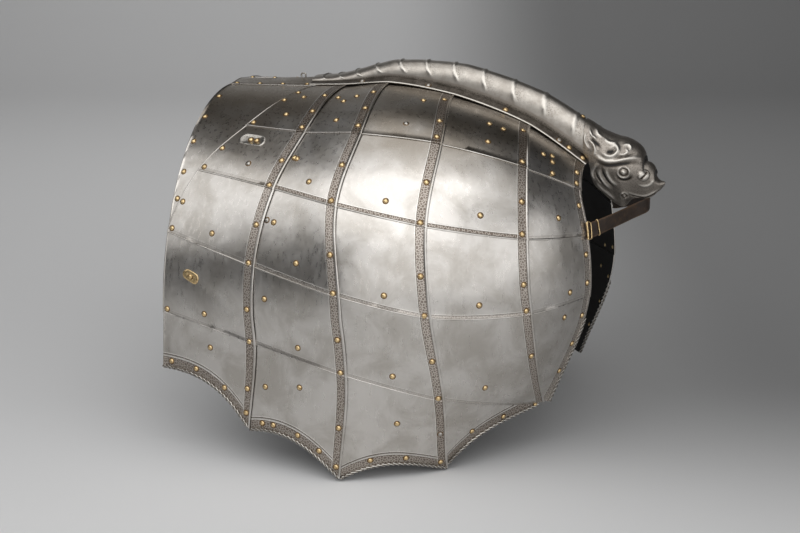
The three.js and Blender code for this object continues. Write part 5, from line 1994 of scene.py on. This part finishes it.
@dataclass
class RopedHem:
    """The hem's turned edge, filed to look like a rope, from tip to tip of each arc."""

    finishes: Finishes
    radius: float = 3.5
    lobe: float = 0.5
    twist: float = 29.0  # length of one full turn
    step: float = 1.5
    rise: float = 1.6
    rear_start: float = 0.2  # where the rope starts on the rear edge of the last lame

    def tree(self) -> Tree:
        """Builds the rope tree: a star section turned along the path."""
        tree, add, start = new_geometry_tree("roped_edge", {
            "Radius": ("NodeSocketFloat", 0.0022),
            "Groove": ("NodeSocketFloat", 0.7),
            "Turn Length": ("NodeSocketFloat", 0.03),
            "Step": ("NodeSocketFloat", 0.0015),
            "Finish": ("NodeSocketMaterial", None),
        })
        line = add("GeometryNodeMeshToCurve", None, {"Mesh": start.outputs["Geometry"]})
        even = add("GeometryNodeResampleCurve", {"mode": "LENGTH"}, {
            "Curve": line, "Length": start.outputs["Step"]})
        place = add("GeometryNodeSplineParameter").outputs["Length"]
        turns = add(MATH, {"operation": "DIVIDE"}, [place, start.outputs["Turn Length"]])
        angle = add(MATH, TIMES, [turns, 2 * math.pi])
        tilted = add("GeometryNodeSetCurveTilt", None, {"Curve": even, "Tilt": angle})
        inner = add(MATH, TIMES, [start.outputs["Radius"], start.outputs["Groove"]])
        star = add("GeometryNodeCurveStar", None, {
            "Points": 3, "Inner Radius": inner, "Outer Radius": start.outputs["Radius"]})
        # painted shade: the star's inner points, the rope's grooves, are stored to be painted dark
        low = add(MATH, MINUS, [1.0, star.outputs["Outer Points"]])
        kind = {"data_type": "FLOAT", "domain": "POINT"}
        marked = add("GeometryNodeStoreNamedAttribute", kind, {
            "Geometry": star.outputs["Curve"], "Name": "groove", "Value": low})
        rope = add("GeometryNodeCurveToMesh", None, {
            "Curve": tilted, "Profile Curve": marked, "Fill Caps": True})
        soft = add("GeometryNodeSetShadeSmooth", None, {"Geometry": rope})
        real = add("GeometryNodeRealizeInstances", None, {"Geometry": soft})
        dressed = add("GeometryNodeSetMaterial", None, {
            "Geometry": real, "Material": start.outputs["Finish"]})
        add("NodeGroupOutput", None, {"Geometry": dressed})
        return tree

    def lines(self) -> list[Array]:
        """Returns the left side's rope lines: each hem arc, and the lower part of the rear edge."""
        places = []
        for column in range(1, len(SCALLOPS) + 1):
            across = np.linspace(0.004, 0.985 if column < 4 else 0.93, 60)
            ends = SHELL.lame_point(column, 5, np.array([0.5, 0.5]), np.array([0.0, 1.0]), np.zeros(2))
            height = float(np.linalg.norm(ends[1] - ends[0]))
            places.append((column, 5, across, np.full(60, 1 - self.radius / height)))
        places.append((5, 4, np.full(60, 0.985), np.linspace(self.rear_start, 0.97, 60)))
        return [SHELL.lame_point(*place, np.full(60, self.rise - SHELL.plate / 2)) for place in places]

    def build(self) -> None:
        """Builds the rope of every hem lame."""
        tree = self.tree()
        for side in Side:
            points: list[Array] = []
            edges: list[tuple[int, int]] = []
            for line in self.lines():
                line = line * np.array([1, side.value * -1, 1])
                first = sum(len(part) for part in points)
                points.append(line)
                edges.extend((first + i, first + i + 1) for i in range(len(line) - 1))
            name = f"{side.name.lower()}_roped_hem"
            mesh = bpy.data.meshes.new(name)
            mesh.from_pydata((SHELL.placed(np.concatenate(points)) * MM).tolist(), edges, [])
            piece = bpy.data.objects.new(name, mesh)
            bpy.context.scene.collection.objects.link(piece)
            apply_tree(piece, tree, {
                "Radius": self.radius * MM,
                "Groove": self.lobe,
                "Turn Length": self.twist * MM,
                "Step": self.step * MM,
                "Finish": self.finishes.rope,
            })
            dress(piece, "steel")
            log.info("%s: %d faces", name, len(piece.data.polygons))


# Studio


@dataclass
class Studio:
    """The camera at the photograph's angle, a pale floor that sweeps up behind, and soft lights."""

    azimuth: float = 18.0
    elevation: float = 16.0
    distance: float = 3.0
    lens: float = 67.5
    sensor: float = 36.0
    target: tuple[float, float, float] = (-0.0838, 0.0, 0.2964)
    pale: str = "#dedede"
    dark: str = "#909090"  # painted shade: the paper darkens to the right of the picture
    sweep_start: float = 3.9  # behind every place that the piece is looked at from
    sweep_radius: float = 2.2
    reach: float = 14.0  # how far the floor goes to the front and to each side

    def camera(self) -> None:
        """Creates the scene's camera."""
        around, up = math.radians(self.azimuth), math.radians(self.elevation)
        forward = Vector((-math.sin(around) * math.cos(up), math.cos(around) * math.cos(up), -math.sin(up)))
        data = bpy.data.cameras.new("camera")
        data.lens = self.lens
        data.sensor_width = self.sensor
        camera = bpy.data.objects.new("camera", data)
        camera.location = Vector(self.target) - forward * self.distance
        camera.rotation_euler = forward.to_track_quat("-Z", "Y").to_euler()
        bpy.context.scene.collection.objects.link(camera)
        bpy.context.scene.camera = camera

    def floor(self) -> None:
        """Creates the floor and its sweep, marked as stage."""
        around = math.radians(self.azimuth)
        back = Vector((-math.sin(around), math.cos(around), 0))
        right = Vector((math.cos(around), math.sin(around), 0))
        profile = [(-self.reach, 0.0), (0.0, 0.0), (self.sweep_start, 0.0)]
        for i in range(1, 13):
            angle = i / 12 * math.pi / 2
            reach = self.sweep_start + self.sweep_radius * math.sin(angle)
            profile.append((reach, self.sweep_radius * (1 - math.cos(angle))))
        profile.append((self.sweep_start + self.sweep_radius, 12.0))
        points = []
        for reach, height in profile:
            for side in (-self.reach, self.reach):
                points.append(back * reach + right * side + Vector((0, 0, height)))
        faces = [(2 * i, 2 * i + 1, 2 * i + 3, 2 * i + 2) for i in range(len(profile) - 1)]
        mesh = bpy.data.meshes.new("studio_floor")
        mesh.from_pydata(points, [], faces)
        mesh.shade_smooth()
        mesh.materials.append(self.paper(right, back))
        floor = bpy.data.objects.new("studio_floor", mesh)
        bpy.context.scene.collection.objects.link(floor)
        floor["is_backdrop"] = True

    def paper(self, right: Vector, back: Vector) -> Material:
        """Returns the paper's material, with painted shade that darkens it to the right and to the back."""
        material, add = new_material("graded_paper")
        place = add("ShaderNodeTexCoord").outputs["Object"]
        shares = []
        for way, low, high in ((right, -0.2, 0.8), (back, -0.9, 0.2)):
            dot = add("ShaderNodeVectorMath", {"operation": "DOT_PRODUCT"}, [place, way])
            shares.append(add(RANGE, SOFT, [dot.outputs["Value"], low, high]))
        # painted shade: the paper's tone darkens where the ramps to the right and to the back meet
        far = add(MATH, TIMES, shares)
        tone = add(MIX, COLOURS, [far, self.pale, self.dark])
        shader = add(SHADER, None, {"Base Color": tone, "Roughness": 0.9, "Specular IOR Level": 0.2})
        add(SURFACE, None, {"Surface": shader})
        return material

    def light(self, name: str, around: float, up: float, distance: float, size: tuple[float, float],
              glow: float, outward: bool = False) -> None:
        """Creates one soft box that faces the object, or the paper behind it.

        Args:
            name: its name.
            around: degrees from the camera's direction to its right.
            up: degrees over the horizon.
            distance: metres from the object's middle.
            size: its width and height in metres.
            glow: how bright its face looks.
            outward: True to face level away from the object and a little down.
        """
        turn = math.radians(self.azimuth + around)
        rise = math.radians(up)
        way = Vector((math.sin(turn) * math.cos(rise), -math.cos(turn) * math.cos(rise), math.sin(rise)))
        data = bpy.data.lights.new(name, "AREA")
        data.shape = "RECTANGLE"
        data.size, data.size_y = size
        data.energy = glow * math.pi * size[0] * size[1]
        lamp = bpy.data.objects.new(name, data)
        middle = Vector((0, 0, 0.35))
        lamp.location = middle + way * distance
        aim = Vector((way.x, way.y, -0.4 * math.hypot(way.x, way.y))) if outward else -way
        lamp.rotation_euler = aim.to_track_quat("-Z", "Y").to_euler()
        bpy.context.scene.collection.objects.link(lamp)

    def build(self) -> None:
        """Sets up camera, floor, lights and the room's dim light."""
        self.camera()
        self.floor()
        self.light("overhead_box", -18, 46, 2.4, (2.7, 1.75), 1.8)
        self.light("right_box", 42, 48, 2.6, (1.3, 1.6), 0.9)
        self.light("top_box", -40, 84, 2.4, (2.0, 1.6), 1.15)
        self.light("front_wall", 12, 12, 4.2, (6.0, 2.8), 1.2)
        self.light("right_panel", 64, 8, 3.6, (1.8, 2.0), 1.0)
        self.light("left_panel", -75, 30, 3.2, (1.4, 2.4), 1.3)
        self.light("paper_box", 180, 65, 3.4, (5.0, 2.0), 2.6, outward=True)
        world = bpy.data.worlds.new("room")
        world.use_nodes = True
        background = world.node_tree.nodes["Background"]
        background.inputs["Color"].default_value = colour("#8a8a8c")
        background.inputs["Strength"].default_value = 0.22
        bpy.context.scene.world = world
        bpy.context.scene.view_settings.view_transform = "Standard"


def main() -> None:
    """Builds the studio and every piece, and reports each one."""
    logging.basicConfig(level=logging.INFO, format="%(message)s")
    Studio().build()
    finishes = Finishes()
    LameShell(finishes).build()
    FrontPlate(finishes).build()
    SpineStrip(finishes).build()
    guard = TailGuard(finishes)
    guard.build()
    MonsterHead(finishes).build()
    TailStrap(finishes).build()
    oval = SmallPlate(
        "oval_steel_plate", "left_oval_plate", "steel", 1, 2, 0.33, 0.25, 58, 26, rimmed=True, pins=(-3, 10))
    oval.build(finishes.iron)
    slotted = SmallPlate(
        "slotted_brass_plate", "left_slot_plate", "brass", 1, 4, 0.31, 0.4, 36, 22, hole=(12, 5), pins=(0,))
    slotted.build(finishes.brass)
    Rivets(finishes).build(guard, (oval, slotted))
    RopedHem(finishes).build()
    sizes = {"cad": CAD_BOX, "visual": [list(corner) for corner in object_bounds()]}
    log.info("box: %s", sizes["visual"])


if __name__ == "__main__":
    main()
